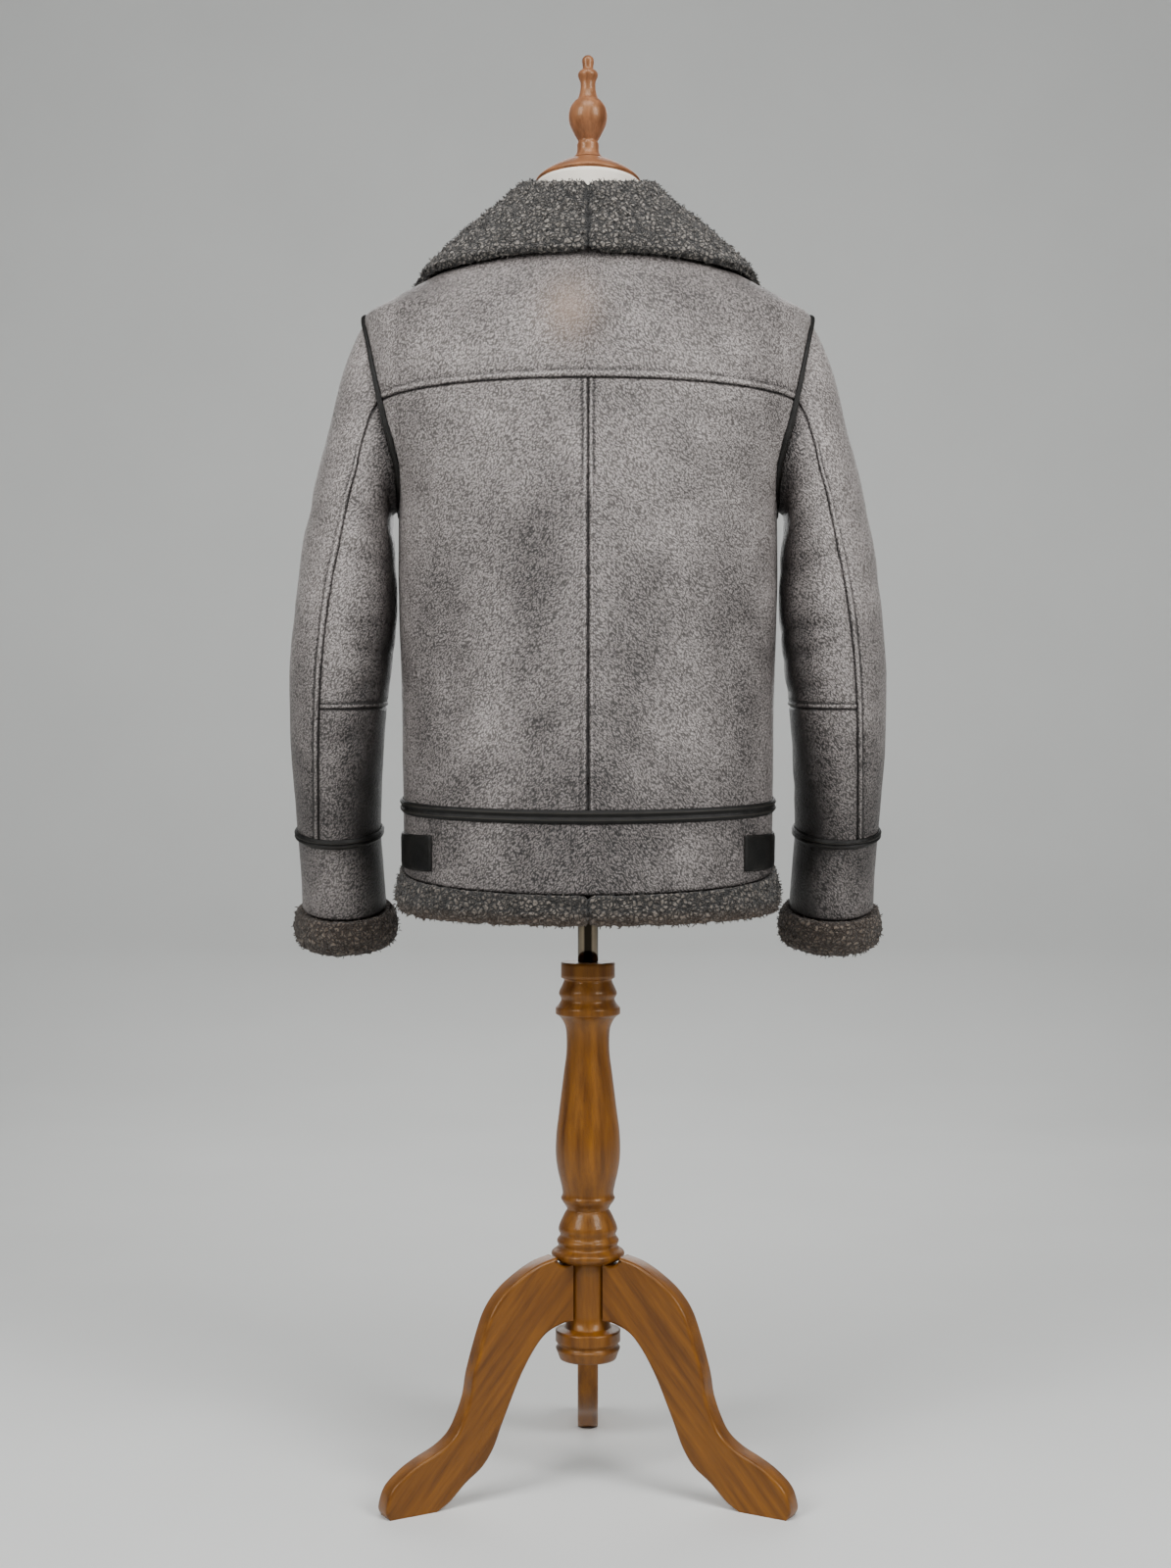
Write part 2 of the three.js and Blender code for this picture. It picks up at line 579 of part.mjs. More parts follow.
const zipHead = new THREE.Group();
const headDepth = smooth(BODY, 'z', 'front', SLIDER.level - TAPE.above) - TAPE.behind + SLIDER.rest;
zipHead.position.set(0, -headDepth, SLIDER.level);
zipHead.rotation.x = -radians(SLIDER.lean);
add('zip_slider', geometryOf(slider), chrome, zipHead);
const pullMesh = add('zip_pull', pull, chrome, zipHead);
pullMesh.position.set(0, PIVOT.y, PIVOT.z);
model.add(zipHead);

// Armhole trims: a ring of two ridges that lies on the body along the armhole
function armTrimRow(share) {
  const row = { out: [], normal: [] };
  const steps = ARMHOLE_STEPS * 2;
  for (let k = 0; k < steps; k += 1) {
    const angle = (k * 180) / ARMHOLE_STEPS;
    const side = angle <= 180 ? 'back' : 'front';
    const point = armhole(angle <= 180 ? angle : 360 - angle, ARM_TRIM * share);
    const turn = turnAt(point.y, point.z, side);
    row.out.push(bodyPoint(turn, point.z, side));
    row.normal.push(bodyNormal(Math.min(turn, 88), point.z, side));
  }
  return row;
}
const pressed = (k) => {
  const fromTip = Math.abs(180 - (((k * 180) / ARMHOLE_STEPS + 180) % 360));
  return THREE.MathUtils.clamp((PRESS.end - fromTip) / (PRESS.end - PRESS.start), PRESS.least, 1);
};
const [nearArm, nearBody] = ARM_TRIM_SHARES;
const armTrim = trimGrid((share) => armTrimRow(nearArm + (nearBody - nearArm) * share), ARM_LIFT, pressed);
addPair('armhole_trim', wallSolid(armTrim, true), black);

// Sleeves: a ring number counts along the sleeve table, an angle of 0 is outside, 90 the back
const sleeveRows = SLEEVE.map((row, ring) => ({ ...row, ring }));
const sleeveAt = (column, ring) => smooth(sleeveRows, 'ring', column, ring);

function sleeveEllipse(angle, ring) {
  const c = Math.cos(radians(angle));
  const s = Math.sin(radians(angle));
  const out = vec(sleeveAt('outX', ring), 0, sleeveAt('outZ', ring));
  const inside = vec(sleeveAt('inX', ring), 0, sleeveAt('inZ', ring));
  const middle = out.clone().add(inside).multiplyScalar(0.5);
  middle.y = sleeveAt('midY', ring);
  return middle.addScaledVector(out.sub(inside), 0.5 * c)
    .add(vec(0, sleeveAt('depth', ring) * s, -sleeveAt('drop', ring) * s));
}

function armholePoint(angle) {
  const whole = ((angle % 360) + 360) % 360;
  const side = whole <= 180 ? 'back' : 'front';
  const point = armhole(whole <= 180 ? whole : 360 - whole);
  return bodyPoint(turnAt(point.y, point.z, side), point.z, side);
}

function sleevePoint(angle, ring) {
  const point = sleeveEllipse(angle, ring);
  const keep = sleeveAt('keep', ring);
  if (keep > 0) point.addScaledVector(armholePoint(angle).sub(sleeveEllipse(angle, 0)), keep);
  return point;
}

function sleeveNormal(angle, ring) {
  if (ring === 0) {
    const whole = ((angle % 360) + 360) % 360;
    const normal = seamNormal(whole <= 180 ? whole : 360 - whole);
    return vec(normal.x, whole <= 180 ? normal.y : -normal.y, normal.z).multiplyScalar(ARM_WALL);
  }
  const around = sleevePoint(angle + 2, ring).sub(sleevePoint(angle - 2, ring));
  const along = sleevePoint(angle, Math.min(ring + 0.1, 16)).sub(sleevePoint(angle, ring - 0.1));
  return along.cross(around).normalize();
}

// The angle of column j of the top sleeve or under sleeve at a ring
function sleeveAngle(j, ring, under) {
  const back = sleeveAt('seam', ring);
  const front = sleeveAt('under', ring);
  return under ? back + (front - back) * (j / 10) : front - 360 + (back - front + 360) * (j / 10);
}

function sleeveRow(ring, under) {
  const row = { out: [], normal: [] };
  for (let j = 0; j <= 10; j += 1) {
    const angle = sleeveAngle(j, ring, under);
    row.out.push(sleevePoint(angle, ring));
    row.normal.push(sleeveNormal(angle, ring));
  }
  return row;
}

function sleevePanel(rings, under) {
  const grid = drawBack(panelGrid(rings.map((ring) => sleeveRow(ring, under))));
  if (rings[0] === 0) {
    for (const points of [grid.outer, grid.inner]) {
      points[0].forEach((p, j) => p.add(points[1][j].clone().sub(p).setLength(GAP)));
    }
  }
  return wallSolid(grid);
}
addPair('sleeve_top', sleevePanel([...count(0, 12), CUFF_SEAM], false), leather);
addPair('sleeve_under_upper', sleevePanel(count(0, ELBOW_RING), true), leather);
addPair('sleeve_under_lower', sleevePanel([...count(ELBOW_RING, 12), CUFF_SEAM], true), leather);

// Cuffs: a whole ring is the top sleeve's columns followed by the under sleeve's
function cuffRow(ring) {
  const top = sleeveRow(ring, false);
  const under = sleeveRow(ring, true);
  return {
    out: [...top.out.slice(0, -1), ...under.out.slice(0, -1)],
    normal: [...top.normal.slice(0, -1), ...under.normal.slice(0, -1)],
  };
}
const bandGrid = drawBack(panelGrid([CUFF_SEAM, 13, 14, CUFF_END].map(cuffRow)), { columns: false });
addPair('cuff_band', wallSolid(bandGrid, true), leather);
const [trimTop, trimBottom] = CUFF_TRIM_RINGS;
const cuffTrim = trimGrid((share) => cuffRow(trimTop + (trimBottom - trimTop) * share));
addPair('cuff_trim', wallSolid(cuffTrim, true), black);
const furRings = CUFF_FUR / (SLEEVE[CUFF_END].outZ - SLEEVE[CUFF_END + 1].outZ);
const cuffRolls = CUFF_ROLL.map(([share, offset]) => {
  const row = cuffRow(CUFF_END + furRings * share);
  return row.out.map((p, j) => p.clone().addScaledVector(row.normal[j], offset));
});
addPair('cuff_fur', rollSolid(cuffRolls[0].map((_, j) => cuffRolls.map((roll) => roll[j])), true), fur);

// Collar: stand, fold and leaf in one thick section, swept round the neck
function clearOfBody(point, distance) {
  for (let pass = 0; pass < 3; pass += 1) {
    const side = point.y >= 0 ? 'back' : 'front';
    const z = Math.min(point.z, BODY[BODY.length - 1].z);
    const share = Math.abs(point.y) / smooth(BODY, 'z', side, z);
    const turn = THREE.MathUtils.radToDeg(Math.atan2(point.x / smooth(BODY, 'z', 'width', z), share));
    const normal = bodyNormal(turn, z, side);
    const height = point.clone().sub(bodyPoint(turn, z, side)).dot(normal);
    if (height < distance) point.addScaledVector(normal, distance - height);
  }
  return point;
}

// One section of the collar; thin scales its thickness down, for the rounded front end
function collarLoop(angle, thin = 1) {
  const at = (column) => smooth(COLLAR, 'angle', column, angle);
  const round = vec(Math.sin(radians(angle)), Math.cos(radians(angle)), 0);
  const place = (radius, z) => round.clone().multiplyScalar(radius).setZ(z);
  const turn = at('edgeTurn');
  const side = turn <= 90 ? 'back' : 'front';
  const bodyTurn = turn <= 90 ? turn : 180 - turn;
  const normal = bodyNormal(bodyTurn, at('edgeZ'), side);
  const edge = bodyPoint(bodyTurn, at('edgeZ'), side).addScaledVector(normal, EDGE_HALF + COLLAR_REST);
  const fold = place(at('foldR'), at('foldZ'));
  const neckSide = angle <= 90 ? 'back' : 'front';
  const neckTurn = angle <= 90 ? angle : 180 - angle;
  const neckZ = levelHeight(NECK_LEVEL, neckTurn, neckSide);
  const foot = bodyPoint(neckTurn, neckZ, neckSide);
  foot.addScaledVector(bodyNormal(neckTurn, neckZ, neckSide), -COLLAR_FOOT.inset);
  foot.z += angle > 60 ? COLLAR_FOOT.front : COLLAR_FOOT.back;
  const rest = COLLAR_REST * (angle > 90 ? 2 : 1);
  const middle = [foot, foot.clone().lerp(fold, 0.55), fold.clone().lerp(foot, 0.12), fold,
    fold.clone().lerp(edge, 0.14), fold.clone().lerp(edge, 0.4), fold.clone().lerp(edge, 0.7), edge];
  middle[3].add(vec(0, 0, 2));
  const sideways = middle.map((p, i) => {
    const along = middle[Math.min(i + 1, 7)].clone().sub(middle[Math.max(i - 1, 0)]);
    const outward = vec(round.x, round.y, 0);
    const across = outward.dot(along);
    return vec(0, 0, 1).multiplyScalar(across).addScaledVector(outward, -along.z).normalize();
  });
  const outerSide = middle.map((p, i) => p.clone().addScaledVector(sideways[i], COLLAR_HALF[i] * thin));
  const innerSide = middle.map((p, i) => p.clone().addScaledVector(sideways[i], -COLLAR_HALF[i] * thin));
  for (const i of [4, 5, 6, 7]) {
    const low = innerSide[i].clone();
    const push = clearOfBody(low.clone(), i < 7 ? 2.5 * COLLAR_REST : rest).sub(low);
    innerSide[i].add(push);
    outerSide[i].add(push);
  }
  const tip = edge.clone().sub(middle[6]).normalize();
  const nose = clearOfBody(outerSide[7].clone().lerp(innerSide[7], 0.5).addScaledVector(tip, 4), rest);
  const crease = innerSide[2].clone().lerp(innerSide[4], 0.5);
  return [...outerSide, nose, innerSide[7], innerSide[6], innerSide[5], crease, innerSide[0]];
}
const collarLoops = Array.from({ length: 15 }, (_, i) => collarLoop(COLLAR_END * (i / 14)));
collarLoops.push(collarLoop(COLLAR_END + COLLAR_TIP.past, COLLAR_TIP.thin));
collarLoops[0].forEach((p) => { p.x += GAP / 2; });
addPair('collar', rollSolid(collarLoops), fur);

// The dress form's torso with its neck
function formRing(pointAt) {
  const turns = Array.from({ length: QUARTER + 1 }, (_, j) => j / QUARTER);
  const front = turns.slice(0, -1).reverse();
  const half = [...turns.map((share) => pointAt(share, 'back')), ...front.map((share) => pointAt(share, 'front'))];
  const centre = half[half.length - 1].clone().setX(0);
  const other = half.slice(1).map((p) => vec(-p.x, p.y, p.z)).reverse();
  return [...half, centre, ...other];
}
const formRings = FORM.map((row) => formRing((share, side) => {
  const turn = side === 'front' ? 2 + 88 * share : 90 * share;
  const s = Math.sin(radians(turn));
  const c = Math.cos(radians(turn));
  const r = (s ** FORM_SQUARE + c ** FORM_SQUARE) ** (-1 / FORM_SQUARE);
  return vec(row.width * r * s, row[side] * r * c * (side === 'back' ? 1 : -1), row.z);
}));
for (const level of SHOULDER_LEVELS.slice(0, -1)) {
  const rows = { back: bodyRow(level, 'back'), front: bodyRow(level, 'front') };
  formRings.push(formRing((share, side) => {
    const j = Math.round(share * QUARTER);
    return rows[side].out[j].clone().addScaledVector(rows[side].normal[j], -WALL - FORM_EASE);
  }));
}
for (const [radius, z, tilt] of FORM_NECK) {
  formRings.push(formRing((share, side) => {
    const turn = side === 'front' ? 4 + 86 * share : 90 * share;
    const y = radius * Math.cos(radians(turn)) * (side === 'back' ? 1 : -1);
    return vec(radius * Math.sin(radians(turn)), y, z + y * Math.tan(radians(tilt)));
  }));
}
add('form_torso', rollSolid(formRings), jersey);

// Neck cap, finial, pole and turned post
const capRings = CAP.map(([radius, z, tilt]) => Array.from({ length: CAP_SEGMENTS }, (_, k) => {
  const angle = (k / CAP_SEGMENTS) * 2 * Math.PI;
  const y = radius * Math.sin(angle);
  return vec(radius * Math.cos(angle), y, z + y * Math.tan(radians(tilt)));
}));
add('neck_cap', rollSolid(capRings), wood);

function turned(profile, segments) {
  const points = profile.map(([radius, z]) => new THREE.Vector2(radius, z)).reverse();
  return new THREE.LatheGeometry(points, segments).rotateX(Math.PI / 2);
}
add('finial', turned(FINIAL, 16), wood);
const poleFoot = POST[0][1] + GAP;
const poleLength = FORM[0].z - GAP - poleFoot;
const pole = new THREE.CylinderGeometry(POLE_RADIUS, POLE_RADIUS, poleLength, 20).rotateX(Math.PI / 2);
add('pole', pole, chrome).position.z = poleFoot + poleLength / 2;
add('post', turned(POST, 20), wood);

// Three shaped legs round the post
const legShape = new THREE.Shape(LEG.map(([radius, z]) => new THREE.Vector2(radius, z)));
const legBoard = new THREE.ExtrudeGeometry(legShape, {
  depth: LEG_THICK - 2 * LEG_ROUND,
  bevelThickness: LEG_ROUND,
  bevelSize: LEG_ROUND,
  bevelOffset: -LEG_ROUND,
  bevelSegments: 1,
});
legBoard.translate(0, 0, -LEG_THICK / 2 + LEG_ROUND).rotateX(Math.PI / 2);
for (const [name, turn] of Object.entries(LEG_TURNS)) {
  add(name, legBoard, wood).rotation.z = radians(turn);
}

export default model;
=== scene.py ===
"""Looks for a grey shearling bomber jacket on a dress form stand, seen from its back.

The garment's measurements are in millimetres, as in its pattern, with the stand's column at
x = y = 0. to_row() turns them into the frame's metres.
"""
import math

import bmesh
import bpy
import numpy as np
from mathutils.geometry import tessellate_polygon
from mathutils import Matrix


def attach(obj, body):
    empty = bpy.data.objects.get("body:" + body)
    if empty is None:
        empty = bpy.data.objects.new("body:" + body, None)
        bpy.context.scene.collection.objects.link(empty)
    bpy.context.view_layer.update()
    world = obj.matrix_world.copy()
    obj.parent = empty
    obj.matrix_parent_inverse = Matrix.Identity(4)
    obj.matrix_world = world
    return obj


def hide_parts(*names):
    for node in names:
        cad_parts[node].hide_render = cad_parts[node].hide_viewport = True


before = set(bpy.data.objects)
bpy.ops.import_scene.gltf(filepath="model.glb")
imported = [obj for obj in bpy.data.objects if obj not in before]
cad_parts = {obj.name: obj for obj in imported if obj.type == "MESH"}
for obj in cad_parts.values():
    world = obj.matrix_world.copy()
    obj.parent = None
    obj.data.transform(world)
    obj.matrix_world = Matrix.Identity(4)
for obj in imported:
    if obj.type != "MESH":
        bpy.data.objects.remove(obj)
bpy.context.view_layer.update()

COLUMN_Y = 51.5  # the column's place behind the frame's origin
WALL = 5.0  # skin with its pressed wool
GAP = 0.3
LIFT = 0.4  # under what lies on a panel
ARM_LIFT = 0.9
ZIP_HALF = 5.3
WAIST_LEVEL = 690.5
WAIST_TRIM = 12.6
ARM_TRIM = 9.5
TAB_THICK = 2.6
FUR_SEAM = 625
HEM = 583
SHOULDER_LEVEL = 1192
NECK_LEVEL = 1258
NECK_DIP = 3
BODY_PIECE = "jacket_on_stand"
PULL_PIECE = "pull_tab"
SIDES = (("left", 1), ("right", -1))
COARSE = 4  # spans of a wall's outer layer to one of its inner layer, as rim() joins them
PANEL_STEP = 2.3  # between the points of a back panel, and FRONT_STEP of a front one
FRONT_STEP = 2.9
HALF_BACK = 205  # over the cloth from the centre back to the side
SIDE_LEVEL = 960  # where a panel's level rows begin to turn to the armhole
LAST_STRIP = 8 / 9  # share of a panel's width where its strip along the armhole begins
ARM_DEGREE = 1.6  # over the cloth for each degree of the armhole's angle


def table(names, rows):
    """A table with one row for each section, as a column of numbers for each name."""
    return dict(zip(names.split(), np.array(rows, float).T))


# Horizontal sections of the jacket's outer surface
BODY = table("z width back front square", [
    [560, 187, 116, 112, 2.5],
    [620, 186.5, 117, 113, 2.5],
    [690, 187.5, 116, 113, 2.5],
    [777, 188.5, 116, 116, 2.5],
    [857, 191, 117, 120, 2.5],
    [930, 192.3, 118, 124, 2.5],
    [988, 192, 118.5, 126, 2.5],
    [1023, 201, 119, 127, 2.5],
    [1045, 211, 119, 127, 2.5],
    [1073, 220, 118.5, 126, 2.5],
    [1120, 225, 118, 123, 2.45],
    [1160, 225.5, 116, 118, 2.4],
    [1180, 226.8, 113, 112, 2.35],
    [1195, 204, 109, 106, 2.3],
    [1205, 186, 106, 101, 2.25],
    [1217, 164, 101, 95, 2.2],
    [1232, 130, 92, 86, 2.1],
    [1246, 96, 82, 77, 2.05],
    [1256, 74, 74, 71, 2.0],
    [1266, 68, 69, 68, 2.0],
])

# How far a level line rises at the centre back and centre front above its height at the side
BOW = table("level back front", [
    [583, -13, 6],
    [625, -24, 5],
    [660, -17, 6],
    [691, -13.5, 6],
    [850, -4, 3],
    [990, 0, 0],
    [1045, 4, 0],
    [1093, 11, 0],
    [1140, 8, 0],
    [1180, 2, -2],
    [1205, 0, -8],
    [1256, 4, -36],
])

# Sleeve rings, from the armhole to the wrist
SLEEVE = table("ring outX outZ inX inZ depth midY drop keep seam under", [
    [0, 226.8, 1180, 192, 988, 58.5, 0, 0, 1, 72, 252],
    [1, 237, 1160, 200, 980, 62, 0, 0, 0.8, 76, 252],
    [2, 249, 1128, 199.5, 966, 66, 0, 0, 0.5, 81, 250],
    [3, 262, 1078, 197, 950, 70, 0, 0, 0.2, 85, 250],
    [4, 275, 1025, 196, 930, 72, 0, 0, 0, 85, 250],
    [5, 286, 975, 195, 908, 72, 0, 0, 0, 83, 250],
    [6, 294, 930, 194.8, 885, 71, 0, 0, 0, 80, 250],
    [7, 300, 875, 196.5, 860, 69, 0, 1, 0, 77, 250],
    [8, 304, 820, 201, 820, 66.5, -2, 3, 0, 75.5, 250],
    [9, 304.4, 788, 205.6, 788, 64, -6, 5, 0, 75, 250],
    [10, 304.2, 750, 209.2, 750, 60, -12, 8, 0, 74, 250],
    [11, 302.5, 705, 212.4, 705, 54, -25, 11, 0, 71, 250],
    [12, 301, 664.5, 214.8, 664.5, 48.5, -37, 12.5, 0, 68, 250],
    [13, 300.5, 655, 215.1, 655, 47.5, -40, 12.5, 0, 68, 250],
    [14, 299, 618, 213, 618, 44.5, -50, 12.5, 0, 68, 250],
    [15, 298.5, 580, 211, 580, 43.5, -60, 12.5, 0, 68, 250],
    [16, 298, 540, 209, 540, 43.5, -71, 12.5, 0, 68, 250],
])
ELBOW_RING = 9
CUFF_SEAM = 12.5
CUFF_END = 15
CUFF_FUR_RINGS = 38 / 40
ARMHOLE = {"depth": 58.5, "up": 125, "down": 67, "level": 1055, "power": 1.8}
ARMHOLE_AWAY = {"up": 0.55, "deep": 0.77}  # how much it grows for each mm over the body
YOKE_ANGLE = 72

# Fur rolls across the wall: share of the way down, and offset from the outer surface
HEM_ROLL = [
    (0, -7), (0, 3), (0.25, 8), (0.6, 10.5), (0.9, 7), (1, 0), (0.9, -8), (0.55, -12), (0.2, -11),
]
CUFF_ROLL = [
    (0.01, -7), (0.01, 5), (0.2, 10), (0.5, 12), (0.85, 8.5), (1, 0), (0.88, -8), (0.55, -11),
    (0.2, -10),
]

COLLAR = table("angle foldR foldZ edgeTurn edgeZ", [
    [0, 66, 1299, 0, 1226],
    [30, 66, 1301, 26, 1224],
    [60, 65.5, 1308, 56, 1218],
    [90, 65, 1313, 88, 1218],
    [115, 71, 1301, 116, 1202],
    [140, 84, 1270, 139, 1175],
    [155, 93, 1252, 154, 1159],
    [166, 98, 1244, 166, 1158],
])
COLLAR_REST = 1.4
COLLAR_END = 166
COLLAR_TIP = {"past": 2, "thin": 0.5}
COLLAR_FOOT = {"inside": 3.2, "up": 2.7, "up_front": 5.0, "back_end": 60}
COLLAR_NOSE = 4
LEAF_HALF = 9
EDGE_HALF = 6.5
COLLAR_HALF = [2.2, 3.6, 5, 7, 8, LEAF_HALF, LEAF_HALF, EDGE_HALF]

FORM = table("z width back front", [
    [640, 160, 92, 88],
    [700, 163, 94, 92],
    [780, 158, 92, 94],
    [850, 153, 92, 98],
    [930, 164, 98, 107],
    [988, 172, 104, 112],
    [1045, 181, 109, 117],
    [1100, 188, 110, 115],
    [1140, 194, 109, 110],
    [1168, 198, 106, 106],
])
FORM_NECK = [
    (72, 1243, 0), (60.5, 1256, 0), (57, 1276, 1.5), (54.6, 1296, 3.5), (53.5, 1318.4, 5.3),
]
FORM_EASE = 0.5
FORM_SQUARE = 2.4
FORM_ROWS = 34

CAP = [
    (52.5, 1319, 5.3), (53.8, 1320.6, 5.3), (53.2, 1322.8, 5.2), (48, 1328, 4.2),
    (39, 1334.5, 2.8), (28, 1340.8, 1.4), (17, 1345.8, 0),
]
FINIAL = [
    (0, 1452.2), (3.6, 1451), (6.2, 1447), (5.6, 1438.4), (9.2, 1435), (10.4, 1431), (8, 1424),
    (8.2, 1416), (10.7, 1408), (14.8, 1403.7), (18.6, 1397.6), (20, 1389), (18.6, 1381),
    (15, 1373), (11.7, 1367), (10.2, 1364), (11.2, 1361), (11.2, 1357), (11.5, 1354),
    (12.8, 1350.6), (16, 1346.6), (0, 1346.1),
]
POST = [
    (0, 527.5), (27.5, 527.5), (27.5, 512), (24.5, 509.5), (26, 505), (29.7, 496), (27.3, 489.2),
    (33, 481), (33, 475), (27.8, 471), (23.2, 462), (21.9, 451), (22.2, 434), (24.6, 415),
    (29.9, 373), (32.1, 356), (33.1, 336), (31.6, 319), (26.1, 294), (27.5, 287), (23, 280),
    (21, 276), (23.9, 271.5), (29.9, 257.5), (28.3, 250), (31.6, 244.5), (30.3, 238.5),
    (36.8, 233), (36.2, 228), (30, 224), (22.7, 223), (22.7, 156.5), (33, 153), (33, 142),
    (30.5, 138.7), (33, 135), (29, 124.3), (0, 124.3),
]
POLE_RADIUS = 10.5
POLE_TOP = 639.7
LEG = [
    (23.1, 223), (33, 223.4), (38.5, 226), (41.5, 232.5), (60.5, 228), (79, 219), (98, 206),
    (113, 189), (122.6, 168), (134.8, 129), (139.3, 105), (147, 85), (156, 70), (171, 59),
    (192, 50), (209, 40.6), (224, 27), (230, 9), (226, 0), (176, 0), (162, 6), (144, 22),
    (125.6, 35), (113, 52), (104, 73), (95, 93), (82.5, 119), (68, 142), (54, 157), (38, 164),
    (23.1, 167),
]
LEG_CORNERS = (0, 3, 18, 19, 30)
LEG_THICK = 22
LEG_ROUND = 3.4
LEG_TURNS = {"leg_back_left": 30, "leg_back_right": 150, "leg_front": -90}

SLIDER = {"width": 8.6, "height": 11, "thick": 3.2, "level": 1196, "lean": 25}
PULL = {"width": 4.6, "length": 30, "thick": 1.6, "pin": 1.1, "lug": 1.2}
PULL_EYE = {"outer": 2.7, "hole": 1.4, "gap": 17}  # radii, and half the gap at the plate in degrees
TEETH = {"first": 14, "pitch": 3.0, "below_slider": 8, "aside": 0.9, "forward": 0.75}
TOOTH_HALF = (1.9, 0.75, 0.75)
TAPE_BEHIND = 1.6
TAPE_ABOVE = 6
TAPE_THICK = 1.4

STITCH = {"pitch": 3.3, "length": 2.3, "radius": 0.34, "sink": 0.25}
LEAST_CUT = 0.01  # a narrow tape's cut is stated as this wide, with its own true area
SEAM_LAP = 8.0  # from a seam to its row of topstitching
GRAIN_SLANT = 38  # degrees from upright that the skin's grain leans
RNG = np.random.default_rng(7)

# Soft unevenness: strength, size of the lumps and seed of each layer
SKIN_LUMPS = [(0.35, 46, 11), (0.16, 15, 12)]
SKIN_PATCHES = [(0.5, 60, 21), (0.16, 22, 22)]
RIDGE_LUMPS = [(0.22, 9, 41), (0.1, 4, 42)]
FUR_LUMPS = [(0.5, 17, 71), (0.3, 8, 72)]

# How seams show: how deep they are, how dark their painted shade is, and the half widths of that
FOLD_DEPTH = 1.4
SEAM = {"half": 1.5, "deep": 1.5, "dark": 2.6, "dark_half": 1.3}
LAP = {"half": 1.2, "deep": 1.0, "raised": 0.8, "dark": 2.1, "dark_half": 1.1}
# Painted highlight along the raised middle of a lap
LAP_LIGHT = {"light": 0.9, "half": 1.5}

# Painted light and shade in bands down the back: strength, place from the centre, half width and wander of
# each
PAINTED_BANDS = [(1, 100, 24, 12), (-0.8, 42, 26, 0), (-0.8, 158, 16, 0)]
# Strengths of the painted light and shade: bands, darker below, darker yoke, lighter sleeves, darker lower
# sleeves
PAINTED_LIGHT = {"bands": 0.4, "below": 0.9, "yoke": 0.15, "sleeve": 0.45, "sleeve_below": 1.3}
# Painted shade on the sleeves' inner sides: how dark, how far over the sleeve it reaches, and how it fades
PAINTED_INNER_SHADE = {"dark": 2.3, "reach": 0.54, "power": 1.3}


def smooth(columns, name, at):
    """Smooth interpolation of a column along the table's first one, with no overshoot."""
    keys, values = next(iter(columns.values())), columns[name]
    step = np.diff(keys)
    slope = np.diff(values) / step
    product = slope[:-1] * slope[1:]
    total = np.where(product > 0, slope[:-1] + slope[1:], 1)
    tangent = np.concatenate([slope[:1], np.where(product > 0, 2 * product / total, 0), slope[-1:]])
    at = np.clip(np.asarray(at, float), keys[0], keys[-1])
    i = np.clip(np.searchsorted(keys, at, side="right") - 1, 0, len(step) - 1)
    t = (at - keys[i]) / step[i]
    value = values[i] * (1 + 2 * t) * (1 - t) ** 2 + values[i + 1] * t * t * (3 - 2 * t)
    return value + step[i] * (tangent[i] * t * (1 - t) ** 2 - tangent[i + 1] * t * t * (1 - t))


def by_side(columns, at, side):
    return np.where(side > 0, smooth(columns, "back", at), smooth(columns, "front", at))


def fade(value, start, end):
    """From 0 at the start to 1 at the end, either way round, and level beyond them."""
    return np.clip((value - start) / (end - start), 0, 1)


def hump(distance, at, half_width):
    return np.exp(-(((distance - at) / half_width) ** 2))


def unit(vectors):
    return vectors / np.maximum(np.linalg.norm(vectors, axis=-1, keepdims=True), 1e-9)


def body_point(turn, z, side):
    """A point of the jacket's surface: the turn is 0 at the centre line and 90 at the side."""
    turn, z = np.broadcast_arrays(np.radians(turn), np.asarray(z, float))
    n = smooth(BODY, "square", z)
    s, c = np.sin(turn), np.cos(turn)
    r = (np.abs(s) ** n + np.abs(c) ** n) ** (-1 / n)
    depth = by_side(BODY, z, side) * side
    return np.stack([smooth(BODY, "width", z) * r * s, depth * r * c, z], -1)


def body_normal(turn, z, side):
    turn_step, z_step = 1, 1.5
    around = body_point(turn + turn_step, z, side) - body_point(turn - turn_step, z, side)
    upward = body_point(turn, z + z_step, side) - body_point(turn, z - z_step, side)
    return unit(np.cross(around, upward)) * -np.asarray(side, float)[..., None]


def armhole(angle, away):
    """Depth and height of the armhole line, moved over the body away from the arm."""
    c, s = np.cos(np.radians(angle)), np.abs(np.sin(np.radians(angle)))
    share = 2 / ARMHOLE["power"]
    height = np.where(c > 0, ARMHOLE["up"] + ARMHOLE_AWAY["up"] * away, ARMHOLE["down"] + away)
    z = ARMHOLE["level"] + height * np.sign(c) * np.abs(c) ** share
    return (ARMHOLE["depth"] + ARMHOLE_AWAY["deep"] * away) * s ** share, z


def turn_at(y, z, side):
    n = smooth(BODY, "square", z)
    share = np.minimum(1, np.abs(y) / by_side(BODY, z, side))
    return np.degrees(np.arctan2((1 - share ** n) ** (1 / n), share))


def level_height(level, turn, side, edge_turn=90.0, rise=None):
    rise = by_side(BOW, level, side) if rise is None else rise
    dip = np.where((side < 0) & (level > SHOULDER_LEVEL), NECK_DIP, 1)
    spread = np.cos(np.radians(edge_turn))
    share = np.maximum(0, (np.cos(np.radians(turn)) - spread) / (1 - spread))
    return level + rise * share ** dip


def centre_turn(level, side):
    edge = np.degrees(np.arctan2(ZIP_HALF / smooth(BODY, "width", level), 1))
    return np.where(side < 0, edge, 0.0)


